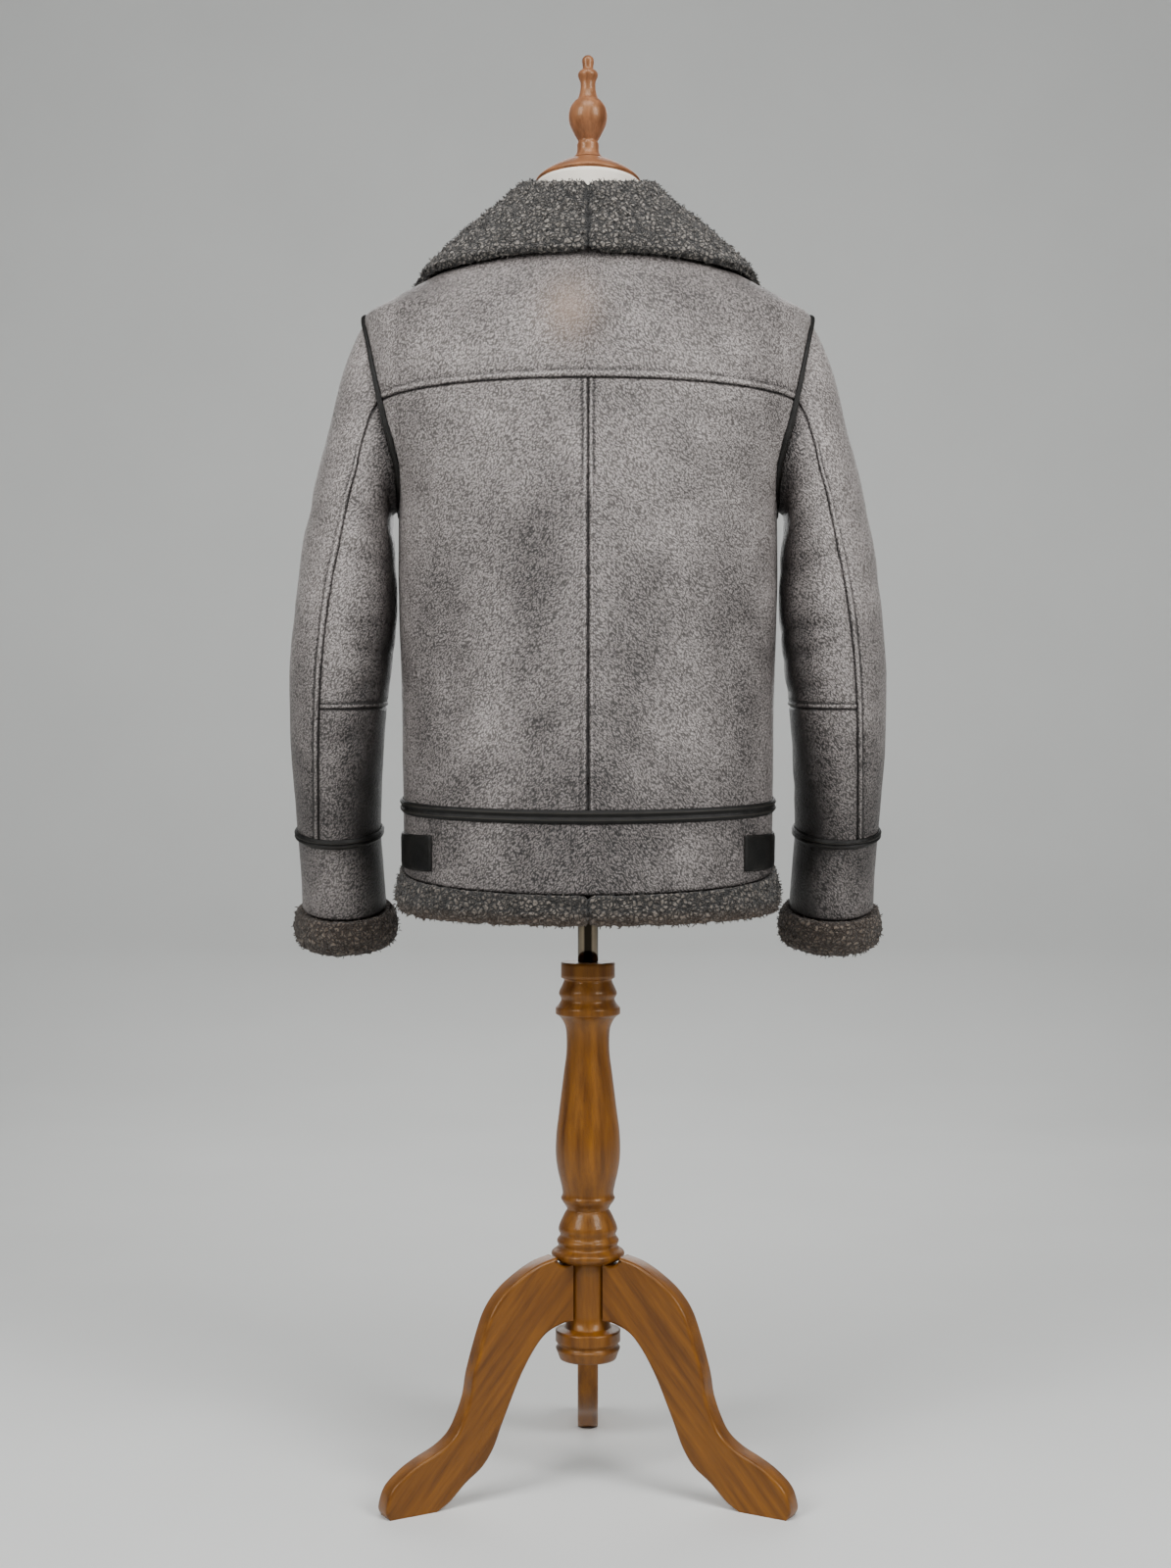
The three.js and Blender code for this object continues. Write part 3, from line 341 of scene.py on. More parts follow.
def panel_row(stop, shares, side):
    """Turns and heights along one row of a body panel. A stop is a level or an armhole angle."""
    kind, value = stop
    if kind == "level":
        first = centre_turn(value, side)
        turn = first + (90 - first) * shares
        return turn, level_height(value, turn, side)
    angle = np.clip(value, 3, 177)  # short of the armhole's very top and bottom
    inner_y, inner_z = armhole(angle, ARM_TRIM)
    edge_turn = turn_at(inner_y, inner_z, side)
    first = centre_turn(inner_z, side)
    turn = first + (edge_turn - first) * np.minimum(1, shares / LAST_STRIP)
    z = level_height(inner_z, turn, side, edge_turn)
    near = fade(shares, LAST_STRIP, 1)
    edge_y, edge_z = armhole(angle + (value - angle) * near, ARM_TRIM * (1 - near))
    beyond = shares > LAST_STRIP
    return np.where(beyond, turn_at(edge_y, edge_z, side), turn), np.where(beyond, edge_z, z)


def panel_points(stops, shares, side, spacing):
    """A fine grid of points between the stops, with a number of spans that COARSE divides."""
    rows = []
    turning = 22  # over the cloth between the last level row and the first armhole row
    for (kind, value), (next_kind, next_value) in zip(stops, stops[1:]):
        long = abs(next_value - value) * (1 if kind == next_kind == "level" else ARM_DEGREE)
        steps = max(2, math.ceil((long if kind == next_kind else turning) / spacing))
        start = panel_row((kind, value), shares, side)
        end = panel_row((next_kind, next_value), shares, side)
        for t in np.arange(steps) / steps:
            if kind == next_kind:
                rows.append(panel_row((kind, value + (next_value - value) * t), shares, side))
            else:
                rows.append(tuple(a + (b - a) * t for a, b in zip(start, end)))
    rows.append(panel_row(stops[-1], shares, side))
    turn, z = (np.array([row[k] for row in rows]) for k in (0, 1))
    steps = np.linalg.norm(np.diff(body_point(turn, z, side), axis=0), axis=-1).mean(axis=1)
    long = np.concatenate([[0], np.cumsum(steps)])
    keep = np.linspace(0, long[-1], COARSE * math.ceil(long[-1] / spacing / COARSE) + 1)
    turn, z = (np.array([np.interp(keep, long, a[:, j]) for j in range(a.shape[1])]).T for a in (turn, z))
    return body_point(turn, z, side)


def shares_for(width, spacing):
    return np.linspace(0, 1, COARSE * math.ceil(width / spacing / COARSE) + 1)


def flipped(points, flip):
    """The points as they are for a flip of 1, and mirrored at the centre line for -1."""
    return points * np.array([flip, 1.0, 1])


def across(points):
    """Joins a half grid and its mirror image into one that runs right across the back."""
    return np.concatenate([flipped(points[:, :0:-1], -1), points], axis=1)


def lattice(corner, seed):
    """A steady random number from 0 to 1 for each corner of a grid of cells."""
    x, y, z = (corner[..., k] for k in range(3))
    h = (x * 73856093) ^ (y * 19349663) ^ (z * 83492791) ^ (seed * 2654435)  # large numbers that mix well
    h = (h ^ (h >> 13)) * 1274126177 & 0x7FFFFFFF
    return ((h ^ (h >> 16)) & 0xFFFFFF) / 0xFFFFFF


def noise(points, size, seed):
    """Soft noise from -1 to 1 with lumps of the given size."""
    at = points / size
    base = np.floor(at).astype(np.int64)
    t = at - base
    t = t * t * (3 - 2 * t)
    total = 0
    for dx in (0, 1):
        for dy in (0, 1):
            for dz in (0, 1):
                weight = (t[..., 0] if dx else 1 - t[..., 0]) * (t[..., 1] if dy else 1 - t[..., 1])
                weight = weight * (t[..., 2] if dz else 1 - t[..., 2])
                total = total + weight * lattice(base + np.array([dx, dy, dz]), seed)
    return 2 * total - 1


def lumps(points, layers, total=0):
    """Layers of noise, added one by one to the total."""
    for strength, size, seed in layers:
        total = total + strength * noise(points, size, seed)
    return total


def cells(points, size, seed):
    """Distance to the nearest of scattered centres, 0 at a centre and about 1 between them."""
    at = points / size
    base = np.floor(at).astype(np.int64)
    nearest = np.full(points.shape[:-1], 9.0)
    for dx in (-1, 0, 1):
        for dy in (-1, 0, 1):
            for dz in (-1, 0, 1):
                corner = base + np.array([dx, dy, dz])
                centre = corner + np.stack([lattice(corner, seed + k) for k in (1, 2, 3)], -1)
                nearest = np.minimum(nearest, np.linalg.norm(centre - at, axis=-1))
    between = 0.75  # in cells, about as far as a place can be from every centre
    return np.minimum(nearest / between, 1)


def grid_steps(points, axis, closed):
    """Steps from point to point along an axis of a grid, also over its join where it is closed."""
    if not closed:
        return np.gradient(points, axis=axis)
    count = points.shape[axis]
    wide = np.take(points, range(-2, count + 2), axis=axis, mode="wrap")
    return np.take(np.gradient(wide, axis=axis), range(2, count + 2), axis=axis)


def grid_normals(points, inside, round_rows=False, round_columns=False):
    """Outward directions of a grid, away from the points inside it."""
    normals = unit(np.cross(grid_steps(points, 1, round_rows), grid_steps(points, 0, round_columns)))
    return normals if np.sum(normals * (points - inside)) > 0 else -normals


def edge_distances(points):
    """Distance over the cloth from each point to the first and last row and column."""
    down = np.linalg.norm(np.diff(points, axis=0), axis=-1)
    down = np.concatenate([np.zeros((1, points.shape[1])), np.cumsum(down, axis=0)])
    over = np.linalg.norm(np.diff(points, axis=1), axis=-1)
    over = np.concatenate([np.zeros((points.shape[0], 1)), np.cumsum(over, axis=1)], axis=1)
    return {"start": down, "end": down[-1] - down, "first": over, "last": over[:, -1:] - over}


def trough(distance, at, half_width, depth):
    return -depth * hump(distance, at, half_width)


def creases(points, folds):
    """Soft troughs and ridges at given places: start, end, half width and depth of each."""
    total = np.zeros(points.shape[:-1])
    wander, size = 2.2, 24
    flat = points[..., [0, 2]] + wander * np.stack([noise(points, size, seed) for seed in (3, 4)], -1)
    for start, end, half_width, depth in folds:
        start, end = np.array(start, float), np.array(end, float)
        line = end - start
        t = np.clip(((flat - start) @ line) / (line @ line), 0, 1)
        away = np.linalg.norm(flat - start - t[..., None] * line, axis=-1)
        strength = np.sin(np.pi * np.clip(0.12 + 0.76 * t, 0, 1))  # full at the middle of the line
        total += -depth * strength * hump(away, 0, half_width)
    return total


def to_row(points):
    return (np.asarray(points, float).reshape(-1, 3) + np.array([0, COLUMN_Y, 0])) / 1000


def make_piece(name, points, faces, finish, nodes=(), body=BODY_PIECE, marks=None, second=None):
    """A piece of the object from points in millimetres and faces of three or four corners."""
    name = f"{name}_look" if nodes else name
    mesh = bpy.data.meshes.new(name)
    sizes = np.concatenate([np.full(len(f), f.shape[1]) for f in faces])
    corners = np.concatenate([f.ravel() for f in faces]).astype(np.int32)
    mesh.vertices.add(len(points))
    mesh.vertices.foreach_set("co", to_row(points).astype(np.float32).ravel())
    mesh.loops.add(len(corners))
    mesh.loops.foreach_set("vertex_index", corners)
    mesh.polygons.add(len(sizes))
    mesh.polygons.foreach_set("loop_start", np.concatenate([[0], np.cumsum(sizes)[:-1]]).astype(np.int32))
    mesh.polygons.foreach_set("use_smooth", np.ones(len(sizes), bool))
    mesh.materials.append(MATERIALS[finish])
    if second is not None:
        mesh.materials.append(MATERIALS[second[0]])
        mesh.polygons.foreach_set("material_index", np.asarray(second[1], np.int32))
    mesh.update(calc_edges=True)
    mesh.validate()
    for mark, values in (marks or {}).items():
        kind = "FLOAT_VECTOR" if np.ndim(values) == 2 else "FLOAT"
        attribute = mesh.attributes.new(mark, kind, "POINT")
        key = "vector" if kind == "FLOAT_VECTOR" else "value"
        attribute.data.foreach_set(key, np.asarray(values, np.float32).ravel())
    piece = bpy.data.objects.new(name, mesh)
    bpy.context.scene.collection.objects.link(piece)
    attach(piece, body)
    if nodes:
        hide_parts(*nodes)
    return piece


def grid_quads(rows, columns, first=0, round_rows=False):
    spans = columns if round_rows else columns - 1
    i, j = np.meshgrid(np.arange(rows - 1), np.arange(spans), indexing="ij")
    following = (j + 1) % columns
    this_row, next_row = i * columns, (i + 1) * columns
    quads = np.stack([this_row + j, this_row + following, next_row + following, next_row + j], -1)
    return quads.reshape(-1, 4) + first


def rim(fine, coarse):
    """Triangles between a fine edge and the coarse edge below it, which has a fourth of its spans."""
    triangles = []
    for k in range(len(coarse) - 1):
        f = fine[COARSE * k:COARSE * (k + 1) + 1]
        a, b = coarse[k], coarse[k + 1]
        triangles += [(f[0], f[1], a), (f[1], f[2], a), (f[2], b, a), (f[2], f[3], b), (f[3], f[4], b)]
    return triangles


def shell_faces(rows, columns, round_rows):
    """Faces of a wall: a fine outer layer, a coarse inner one and the rims that join them."""
    outer = np.arange(rows * columns).reshape(rows, columns)
    low = columns // COARSE if round_rows else (columns - 1) // COARSE + 1
    inner = np.arange(((rows - 1) // COARSE + 1) * low).reshape(-1, low) + rows * columns
    front = grid_quads(rows, columns, 0, round_rows)
    back = grid_quads(inner.shape[0], low, rows * columns, round_rows)[:, ::-1]
    top, foot = (outer[0], inner[0]), (outer[-1], inner[-1])
    if round_rows:
        top, foot = ([np.append(line, line[0]) for line in pair] for pair in (top, foot))
    edges = rim(top[0][::-1], top[1][::-1]) + rim(*foot)
    if not round_rows:
        edges += rim(outer[:, 0], inner[:, 0]) + rim(outer[::-1, -1], inner[::-1, -1])
    return front, back, np.array(edges)


def facing_out(points, faces, normals):
    """True where the first layer's faces turn the same way as its outward directions."""
    a, b, c = (points[faces[:, k]] for k in (0, 1, 2))
    return np.sum(np.cross(b - a, c - a) * normals[faces[:, 0]]) > 0


def cloth_wall(name, base, inside, relief, marks, finish, thick=WALL, round_rows=False, ridged=False):
    """A cloth piece: the outer layer follows the pattern's surface with its relief, and the
    inner one lies a wall's thickness below it. Returns the outer layer and its directions."""
    normals = grid_normals(base, inside, round_rows)
    outer = base + normals * relief[..., None]
    inner = (base - normals * thick)[::COARSE, ::COARSE]
    points = np.concatenate([outer.reshape(-1, 3), inner.reshape(-1, 3)])
    front, back, edges = shell_faces(*base.shape[:2], round_rows)
    if not facing_out(points, front, normals.reshape(-1, 3)):
        front, back, edges = front[:, ::-1], back[:, ::-1], edges[:, ::-1]
    marks = {k: np.concatenate([v.ravel(), v[::COARSE, ::COARSE].ravel()]) for k, v in marks.items()}
    layer = np.concatenate([np.zeros(len(front)), np.ones(len(back) + len(edges))])
    lining = "pressed_wool" if finish == "shearling_skin" else finish
    piece = make_piece(name, points, [front, back, edges], finish, [name], marks=marks,
                       second=(lining, layer))
    declare_cut(outer if ridged else base, round_rows)
    return outer, normals


def declare_cut(base, round_rows):
    """Works out a cloth piece's flat cut, measured on the pattern's own surface, but keeps nothing of it.
    """
    closed = np.concatenate([base, base[:, :1]], axis=1) if round_rows else base
    over = np.linalg.norm(np.diff(closed, axis=1), axis=-1).sum(axis=1)
    down = np.linalg.norm(np.diff(closed, axis=0), axis=-1).sum(axis=0)
    a, b = np.diff(closed, axis=1)[:-1], np.diff(closed, axis=0)[:, :-1]
    area = np.linalg.norm(np.cross(a, b), axis=-1).sum() / 1e6
    width, length = (max(LEAST_CUT, side.max() / 1000) for side in (over, down))
    area = min(area, width * length)


def line_at(distance, at, layers):
    """Points of the given layers along the line where a distance to an edge has one value."""
    if distance.shape[1] != layers[0].shape[1] or np.ptp(distance[:, 0]) > np.ptp(distance[0]):
        distance = distance.T
        layers = [np.swapaxes(layer, 0, 1) for layer in layers]
    found = []
    for k in range(distance.shape[0]):
        order = distance[k] if distance[k][-1] > distance[k][0] else distance[k][::-1]
        lines = [layer[k] if distance[k][-1] > distance[k][0] else layer[k][::-1] for layer in layers]
        if order[-1] > at:
            found.append([np.array([np.interp(at, order, line[:, m]) for m in range(3)]) for line in lines])
    return [np.array([f[m] for f in found]) for m in range(len(layers))]


def tube_rings(middle, side, up, radius, angles):
    """Corners of a ring round each middle point, one array of points for each angle."""
    turns = [math.radians(angle) for angle in angles]
    return [middle + (side * math.cos(a) + up * math.sin(a)) * radius for a in turns]


STITCHES = []


def sew(line, normals):
    """A row of stitches along a line on the cloth."""
    long = np.concatenate([[0], np.cumsum(np.linalg.norm(np.diff(line, axis=0), axis=1))])
    places = np.arange(STITCH["pitch"], long[-1] - STITCH["pitch"], STITCH["pitch"])
    ends = []
    for shift in (-0.5, 0.5):
        at = places + shift * STITCH["length"]
        ends.append(np.stack([np.interp(at, long, line[:, m]) for m in range(3)], -1))
    up = unit(np.stack([np.interp(places, long, normals[:, m]) for m in range(3)], -1))
    STITCHES.append((ends[0] - up * STITCH["sink"], ends[1] - up * STITCH["sink"], up))


def stitch_piece():
    """All the stitches as one piece: each is a short thread that dives in at both ends."""
    start, end, up = (np.concatenate([s[k] for s in STITCHES]) for k in range(3))
    along = unit(end - start)
    side = np.cross(along, up)
    radius = STITCH["radius"]
    rings = []
    for share, height, thick in ((0, -0.5, 0.5), (0.25, 0.5, 1.0), (0.75, 0.5, 1.0), (1, -0.5, 0.5)):
        middle = start + (end - start) * share + up * height * radius
        rings += tube_rings(middle, side, up, radius * thick, (45, 135, 225, 315))
    points = np.stack(rings, 1).reshape(-1, 3)
    firsts = np.arange(len(start))[:, None, None] * len(rings)
    faces = (firsts + grid_quads(4, 4, 0, True)[None]).reshape(-1, 4)
    make_piece("seam_stitches", points, [faces], "thread")


# Materials

def new_group(name, outputs, inputs=()):
    group = bpy.data.node_groups.new(name, "ShaderNodeTree")
    for label, kind, value in inputs:
        socket = group.interface.new_socket(label, in_out="INPUT", socket_type=kind)
        socket.default_value = value
    for label, kind in outputs:
        group.interface.new_socket(label, in_out="OUTPUT", socket_type=kind)
    return group


class Nodes:
    """Short ways to add and join nodes in one tree."""

    def __init__(self, tree):
        self.tree = tree

    def add(self, kind, **settings):
        node = self.tree.nodes.new("ShaderNode" + kind)
        for key, value in settings.items():
            setattr(node, key, value)
        return node

    def feed(self, socket, value):
        """Joins another node's output to a socket, or gives the socket a value of its own."""
        if isinstance(value, bpy.types.NodeSocket):
            self.tree.links.new(value, socket)
        else:
            socket.default_value = value

    def feed_all(self, node, *values):
        """Feeds a node's sockets in their order, and gives its first output."""
        for socket, value in zip(node.inputs, values):
            self.feed(socket, value)
        return node.outputs[0]

    def put(self, node, **values):
        for key, value in values.items():
            self.feed(node.inputs[key.replace("_", " ")], value)
        return node

    def math(self, operation, a, b=0.0, clamp=False):
        return self.feed_all(self.add("Math", operation=operation, use_clamp=clamp), a, b)

    def plus(self, value, other, share):
        """A value with a share of another one added."""
        return self.math("ADD", value, self.math("MULTIPLY", other, share))

    def mix(self, share, a, b):
        node = self.add("Mix", data_type="RGBA")
        for index, value in ((0, share), (6, a), (7, b)):
            self.feed(node.inputs[index], value)
        return node.outputs[2]

    def ramp(self, value, low, high):
        """From 0 where the value is low to 1 where it is high."""
        return self.feed_all(self.add("MapRange"), value, low, high)

    def place(self):
        """Where the shaded point lies on its object, in metres."""
        return self.add("TexCoord").outputs["Object"]

    def noise(self, vector, scale, detail=3.0, roughness=0.5):
        node = self.add("TexNoise")
        self.put(node, Vector=vector, Scale=scale, Detail=detail, Roughness=roughness)
        return node.outputs["Fac"]

    def mark(self, name, output="Fac"):
        return self.add("Attribute", attribute_name=name).outputs[output]

    def scaled(self, vector, stretch):
        return self.feed_all(self.add("VectorMath", operation="MULTIPLY"), vector, stretch)

    def bent(self, vector, scale, distance):
        """The same places moved a little by soft noise."""
        noise = self.put(self.add("TexNoise"), Vector=vector, Scale=scale, Detail=2.0)
        moved = self.add("VectorMath", operation="MULTIPLY_ADD")
        return self.feed_all(moved, noise.outputs["Color"], (distance,) * 3, vector)

    def slanted(self, vector, stretch):
        """Places turned to a slant that is mirrored at the centre, then stretched along it."""
        mirrored = self.feed_all(self.add("VectorMath", operation="ABSOLUTE"), vector)
        turned = self.add("VectorRotate", rotation_type="Y_AXIS")
        self.put(turned, Vector=mirrored, Angle=math.radians(GRAIN_SLANT))
        return self.scaled(turned.outputs[0], stretch)


def linear(red, green, blue):
    """A colour given as it looks on a screen, 0 to 255, as the shader's linear values."""
    values = [c / 255 for c in (red, green, blue)]
    return (*[c / 12.92 if c <= 0.04045 else ((c + 0.055) / 1.055) ** 2.4 for c in values], 1.0)


def pebble_group():
    """Leather grain: small pebbles with fine creases between them."""
    group = new_group("leather_pebbles", [("Height", "NodeSocketFloat"), ("Mottle", "NodeSocketFloat")],
                      [("Pebble", "NodeSocketFloat", 460.0)])
    n = Nodes(group)
    entry, exit_ = group.nodes.new("NodeGroupInput"), group.nodes.new("NodeGroupOutput")
    where = n.place()
    slanted = n.slanted(n.bent(where, 60.0, 0.009), (1.6, 1.6, 0.85))
    pebbles = n.add("TexVoronoi", feature="SMOOTH_F1")
    n.put(pebbles, Vector=n.bent(slanted, 420.0, 0.0016), Scale=entry.outputs["Pebble"], Smoothness=0.3)
    small = n.noise(slanted, 1500.0, 2.0)
    height = n.math("SUBTRACT", n.math("MULTIPLY", small, 0.5), pebbles.outputs["Distance"])
    broad = n.noise(where, 26.0, 2.0)
    speckle = n.noise(slanted, 300.0, 2.0)
    mottle = n.plus(n.math("MULTIPLY", broad, 0.7), speckle, 0.3)
    group.links.new(height, exit_.inputs["Height"])
    group.links.new(mottle, exit_.inputs["Mottle"])
    return group


def wood_group():
    """Wood figure along a piece's own grain direction, with fine dark pores."""
    group = new_group("wood_figure", [("Figure", "NodeSocketFloat"), ("Pores", "NodeSocketFloat")])
    n = Nodes(group)
    exit_ = group.nodes.new("NodeGroupOutput")
    grain = n.mark("grain", "Vector")
    bands = n.noise(n.scaled(grain, (9.0, 120.0, 120.0)), 1.0, 4.0, 0.55)
    pores = n.noise(n.scaled(grain, (70.0, 1300.0, 1300.0)), 1.0, 2.0)
    group.links.new(bands, exit_.inputs["Figure"])
    group.links.new(n.ramp(pores, 0.52, 0.72), exit_.inputs["Pores"])
    return group


def new_material(name):
    material = bpy.data.materials.new(name)
    material.use_nodes = True
    n = Nodes(material.node_tree)
    return material, n, material.node_tree.nodes["Principled BSDF"]


def use_group(n, group, **values):
    node = n.add("Group", node_tree=group)
    return n.put(node, **values).outputs


def bump(n, shader, height, distance, strength):
    """Small relief of the given depth, in metres."""
    node = n.put(n.add("Bump"), Height=height, Distance=distance, Strength=strength)
    n.put(shader, Normal=node.outputs[0])


def skin_material(pebbles):
    """Grey finished skin: light pebble tops over creases in painted shade, with the tone mark's painted
    light and shade, darkest along seams.
    """
    material, n, shader = new_material("grey_shearling_skin")
    out = use_group(n, pebbles, Pebble=430.0)
    tone = n.plus(n.ramp(out["Mottle"], -0.12, 1.12), n.mark("tone"), 0.42)
    # Painted shade in the grain's creases, with lighter pebble tops
    creases = n.mix(tone, linear(28, 25, 24), linear(112, 106, 103))
    pebble_tops = n.mix(tone, linear(116, 109, 107), linear(200, 192, 189))
    colour = n.mix(n.ramp(out["Height"], -0.42, 0.06), creases, pebble_tops)
    # Painted shade: near black where the tone mark is lowest, in the seams and on the sleeves' inner sides
    colour = n.mix(n.ramp(tone, -0.02, -0.55), colour, linear(30, 27, 26))
    warm = n.mix(n.math("MULTIPLY", n.mark("warm"), 0.4), colour, linear(176, 152, 134))
    n.put(shader, Base_Color=warm, Roughness=n.ramp(out["Mottle"], -0.3, 1.9), Specular_IOR_Level=0.42)
    bump(n, shader, out["Height"], 0.0013, 0.8)
    return material


def black_leather_material(pebbles):
    """Black binding leather, mottled, lighter where its tone mark says so: a painted highlight on the ridge
    tops, with some wear.
    """
    material, n, shader = new_material("black_leather")
    out = use_group(n, pebbles, Pebble=900.0)
    mottle_wear_and_highlight = n.math("ADD", n.math("MULTIPLY", out["Mottle"], 0.2), n.mark("tone"), clamp=True)
    n.put(shader, Base_Color=n.mix(mottle_wear_and_highlight, linear(3, 3, 3), linear(58, 55, 50)),
          Roughness=n.ramp(out["Mottle"], -0.5, 1.8), Specular_IOR_Level=0.22)
    bump(n, shader, out["Height"], 0.0004, 0.6)
    return material


def wool_material(name, curls, deep, middle, tip):
    """Curled wool with painted shade: dark deep between the curls and lighter at their tips."""
    material, n, shader = new_material(name)
    where = n.place()
    twisted = n.bent(where, 190.0, 0.006)
    gaps = n.put(n.add("TexVoronoi", feature="DISTANCE_TO_EDGE"), Vector=twisted, Scale=curls)
    worms = n.math("ABSOLUTE", n.math("SUBTRACT", n.noise(where, curls * 0.8, 1.0), 0.5))
    raised = n.math("MULTIPLY", n.ramp(gaps.outputs["Distance"], 0.0, 0.2),
                    n.math("ADD", n.math("MULTIPLY", n.ramp(worms, 0.0, 0.05), 0.7), 0.3))
    fine = n.noise(twisted, 900.0, 2.0, 0.6)
    pile = n.plus(n.math("MULTIPLY", raised, 0.62), n.mark("pile"), 0.42)
    pile = n.plus(pile, fine, 0.16)
    patch = n.noise(where, 45.0)
    # Painted shade: darkest deep in the gaps, lighter towards the tips
    low = n.mix(n.ramp(pile, 0.3, 0.72), deep, middle)
    high = n.mix(n.ramp(pile, 0.72, 1.05), low, tip)
    colour = n.mix(n.math("MULTIPLY", n.ramp(patch, 0.3, 0.75), 0.3), high, deep)
    colour = n.mix(n.mark("brown"), colour, linear(112, 84, 60))
    n.put(shader, Base_Color=colour, Roughness=0.92, Sheen_Weight=0.12, Sheen_Roughness=0.6)
    bump(n, shader, n.plus(raised, fine, 0.3), 0.0022, 0.9)
    return material


def wood_material(name, figure, dark, light):
    """Varnished wood whose reflections take on its warm colour."""
    material, n, shader = new_material(name)
    out = use_group(n, figure)
    colour = n.mix(n.ramp(out["Figure"], 0.3, 0.72), dark, light)
    colour = n.mix(n.math("MULTIPLY", out["Pores"], 0.3), colour, linear(58, 31, 5))
    n.put(shader, Base_Color=colour, Roughness=n.ramp(out["Figure"], -0.7, 2.4),
          Specular_Tint=(1.0, 0.72, 0.4, 1.0), Coat_Weight=0.2, Coat_Roughness=0.16)
    bump(n, shader, n.math("MULTIPLY", out["Pores"], -1.0), 0.0003, 0.4)
    return material


def metal_material(name, tint, rough, bands=0.0):
    """Polished metal with faint smudges; a round piece may have dark bands down its length, a painted
    reflection.
    """
    material, n, shader = new_material(name)

    def darker(share):
        return tuple(c * share for c in tint[:3]) + (1.0,)

    smudge = n.noise(n.place(), 90.0, 4.0, 0.6)
    colour = n.mix(n.ramp(smudge, 0.35, 0.75), tint, darker(0.8))
    # Painted reflection: dark bands by the way the surface faces
    if bands:
        facing = n.add("SeparateXYZ")
        n.feed(facing.inputs[0], n.add("TexCoord").outputs["Normal"])
        turn = n.math("ARCTAN2", facing.outputs[0], facing.outputs[1])
        wave = n.math("COSINE", n.math("MULTIPLY", turn, bands))
        colour = n.mix(n.ramp(wave, -0.35, 0.35), colour, darker(0.08))
    roughness = n.math("ADD", n.math("MULTIPLY", smudge, 0.15), rough)
    n.put(shader, Base_Color=colour, Metallic=1.0, Roughness=roughness)
    return material


def woven_material(name, colour_low, colour_high, pitch):
    """Cloth with a fine over and under of threads."""
    material, n, shader = new_material(name)
    where = n.place()
    waves = []
    for direction in ("Z", "X"):
        wave = n.add("TexWave", bands_direction=direction)
        n.put(wave, Vector=where, Scale=pitch, Distortion=0.6, Detail=1.0, Detail_Scale=2.0)
        waves.append(wave.outputs["Fac"])
    height = n.math("MULTIPLY", *waves)
    shade = n.math("ADD", n.math("MULTIPLY", height, 0.5), n.math("MULTIPLY", n.noise(where, 60.0), 0.5))
    n.put(shader, Base_Color=n.mix(shade, colour_low, colour_high), Roughness=0.85)
    bump(n, shader, height, 0.0003, 0.6)
    return material


def mottled_material(name, scale, detail, colour_low, colour_high, rough):
    """A plain surface between two close colours."""
    material, n, shader = new_material(name)
    colour = n.mix(n.noise(n.place(), scale, detail), colour_low, colour_high)
    n.put(shader, Base_Color=colour, Roughness=rough)
    return material


# Wool: curls in a metre, and the colours deep between them (painted shade), on them and at their tips
WOOLS = [
    ("collar_wool", 190.0, (8, 7, 6), (80, 75, 70), (152, 145, 137)),
    ("hem_wool", 200.0, (5, 4, 3), (66, 60, 54), (136, 127, 118)),
    ("cuff_wool", 205.0, (4, 3, 2), (54, 45, 38), (132, 121, 109)),
    ("pressed_wool", 300.0, (60, 57, 54), (84, 80, 76), (110, 105, 100)),
]


def make_materials():
    pebbles, figure = pebble_group(), wood_group()
    return {
        "shearling_skin": skin_material(pebbles),
        "black_leather": black_leather_material(pebbles),
        **{name: wool_material(name, curls, *(linear(*colour) for colour in colours))
           for name, curls, *colours in WOOLS},
        "post_wood": wood_material("post_wood", figure, linear(84, 46, 14), linear(130, 80, 20)),
        "finial_wood": wood_material("finial_wood", figure, linear(104, 64, 40), linear(156, 104, 70)),
        "chrome": metal_material("pole_chrome", (0.17, 0.14, 0.1, 1.0), 0.05, bands=4.0),
        "zip_metal": metal_material("zip_metal", (0.42, 0.41, 0.39, 1.0), 0.22),
        "jersey": woven_material("cream_jersey", linear(232, 222, 204), linear(253, 249, 241), 420.0),
        "zip_tape": woven_material("zip_tape", linear(22, 22, 22), linear(52, 51, 50), 500.0),
        "thread": mottled_material("grey_thread", 2500.0, 2.0, linear(38, 37, 36), linear(74, 71, 69), 0.7),
    }


MATERIALS = make_materials()


# Body panels

BACK_FOLDS = [
    ((118, 1060), (104, 800), 26, 1.3),
    ((52, 1070), (60, 830), 30, 0.9),
    ((150, 960), (128, 760), 16, 1.6),
    ((170, 900), (150, 830), 8, 0.9),
    ((20, 800), (70, 720), 14, 0.8),
    ((96, 760), (140, 712), 12, -0.9),
    ((80, 1085), (150, 1050), 12, 0.7),
]
YOKE_FOLDS = [
    ((60, 1200), (150, 1130), 20, 0.9),
    ((15, 1180), (30, 1120), 16, 0.7),
    ((190, 1150), (120, 1110), 12, -0.7),
]
FRONT_FOLDS = [
    ((60, 1120), (72, 800), 26, 1.4),
    ((130, 1010), (110, 780), 20, 1.5),
    ((170, 940), (140, 860), 9, 1.1),
    ((30, 900), (90, 740), 14, 0.9),
    ((150, 1120), (90, 1060), 13, 0.8),
    ((20, 1060), (26, 980), 12, -0.7),
]


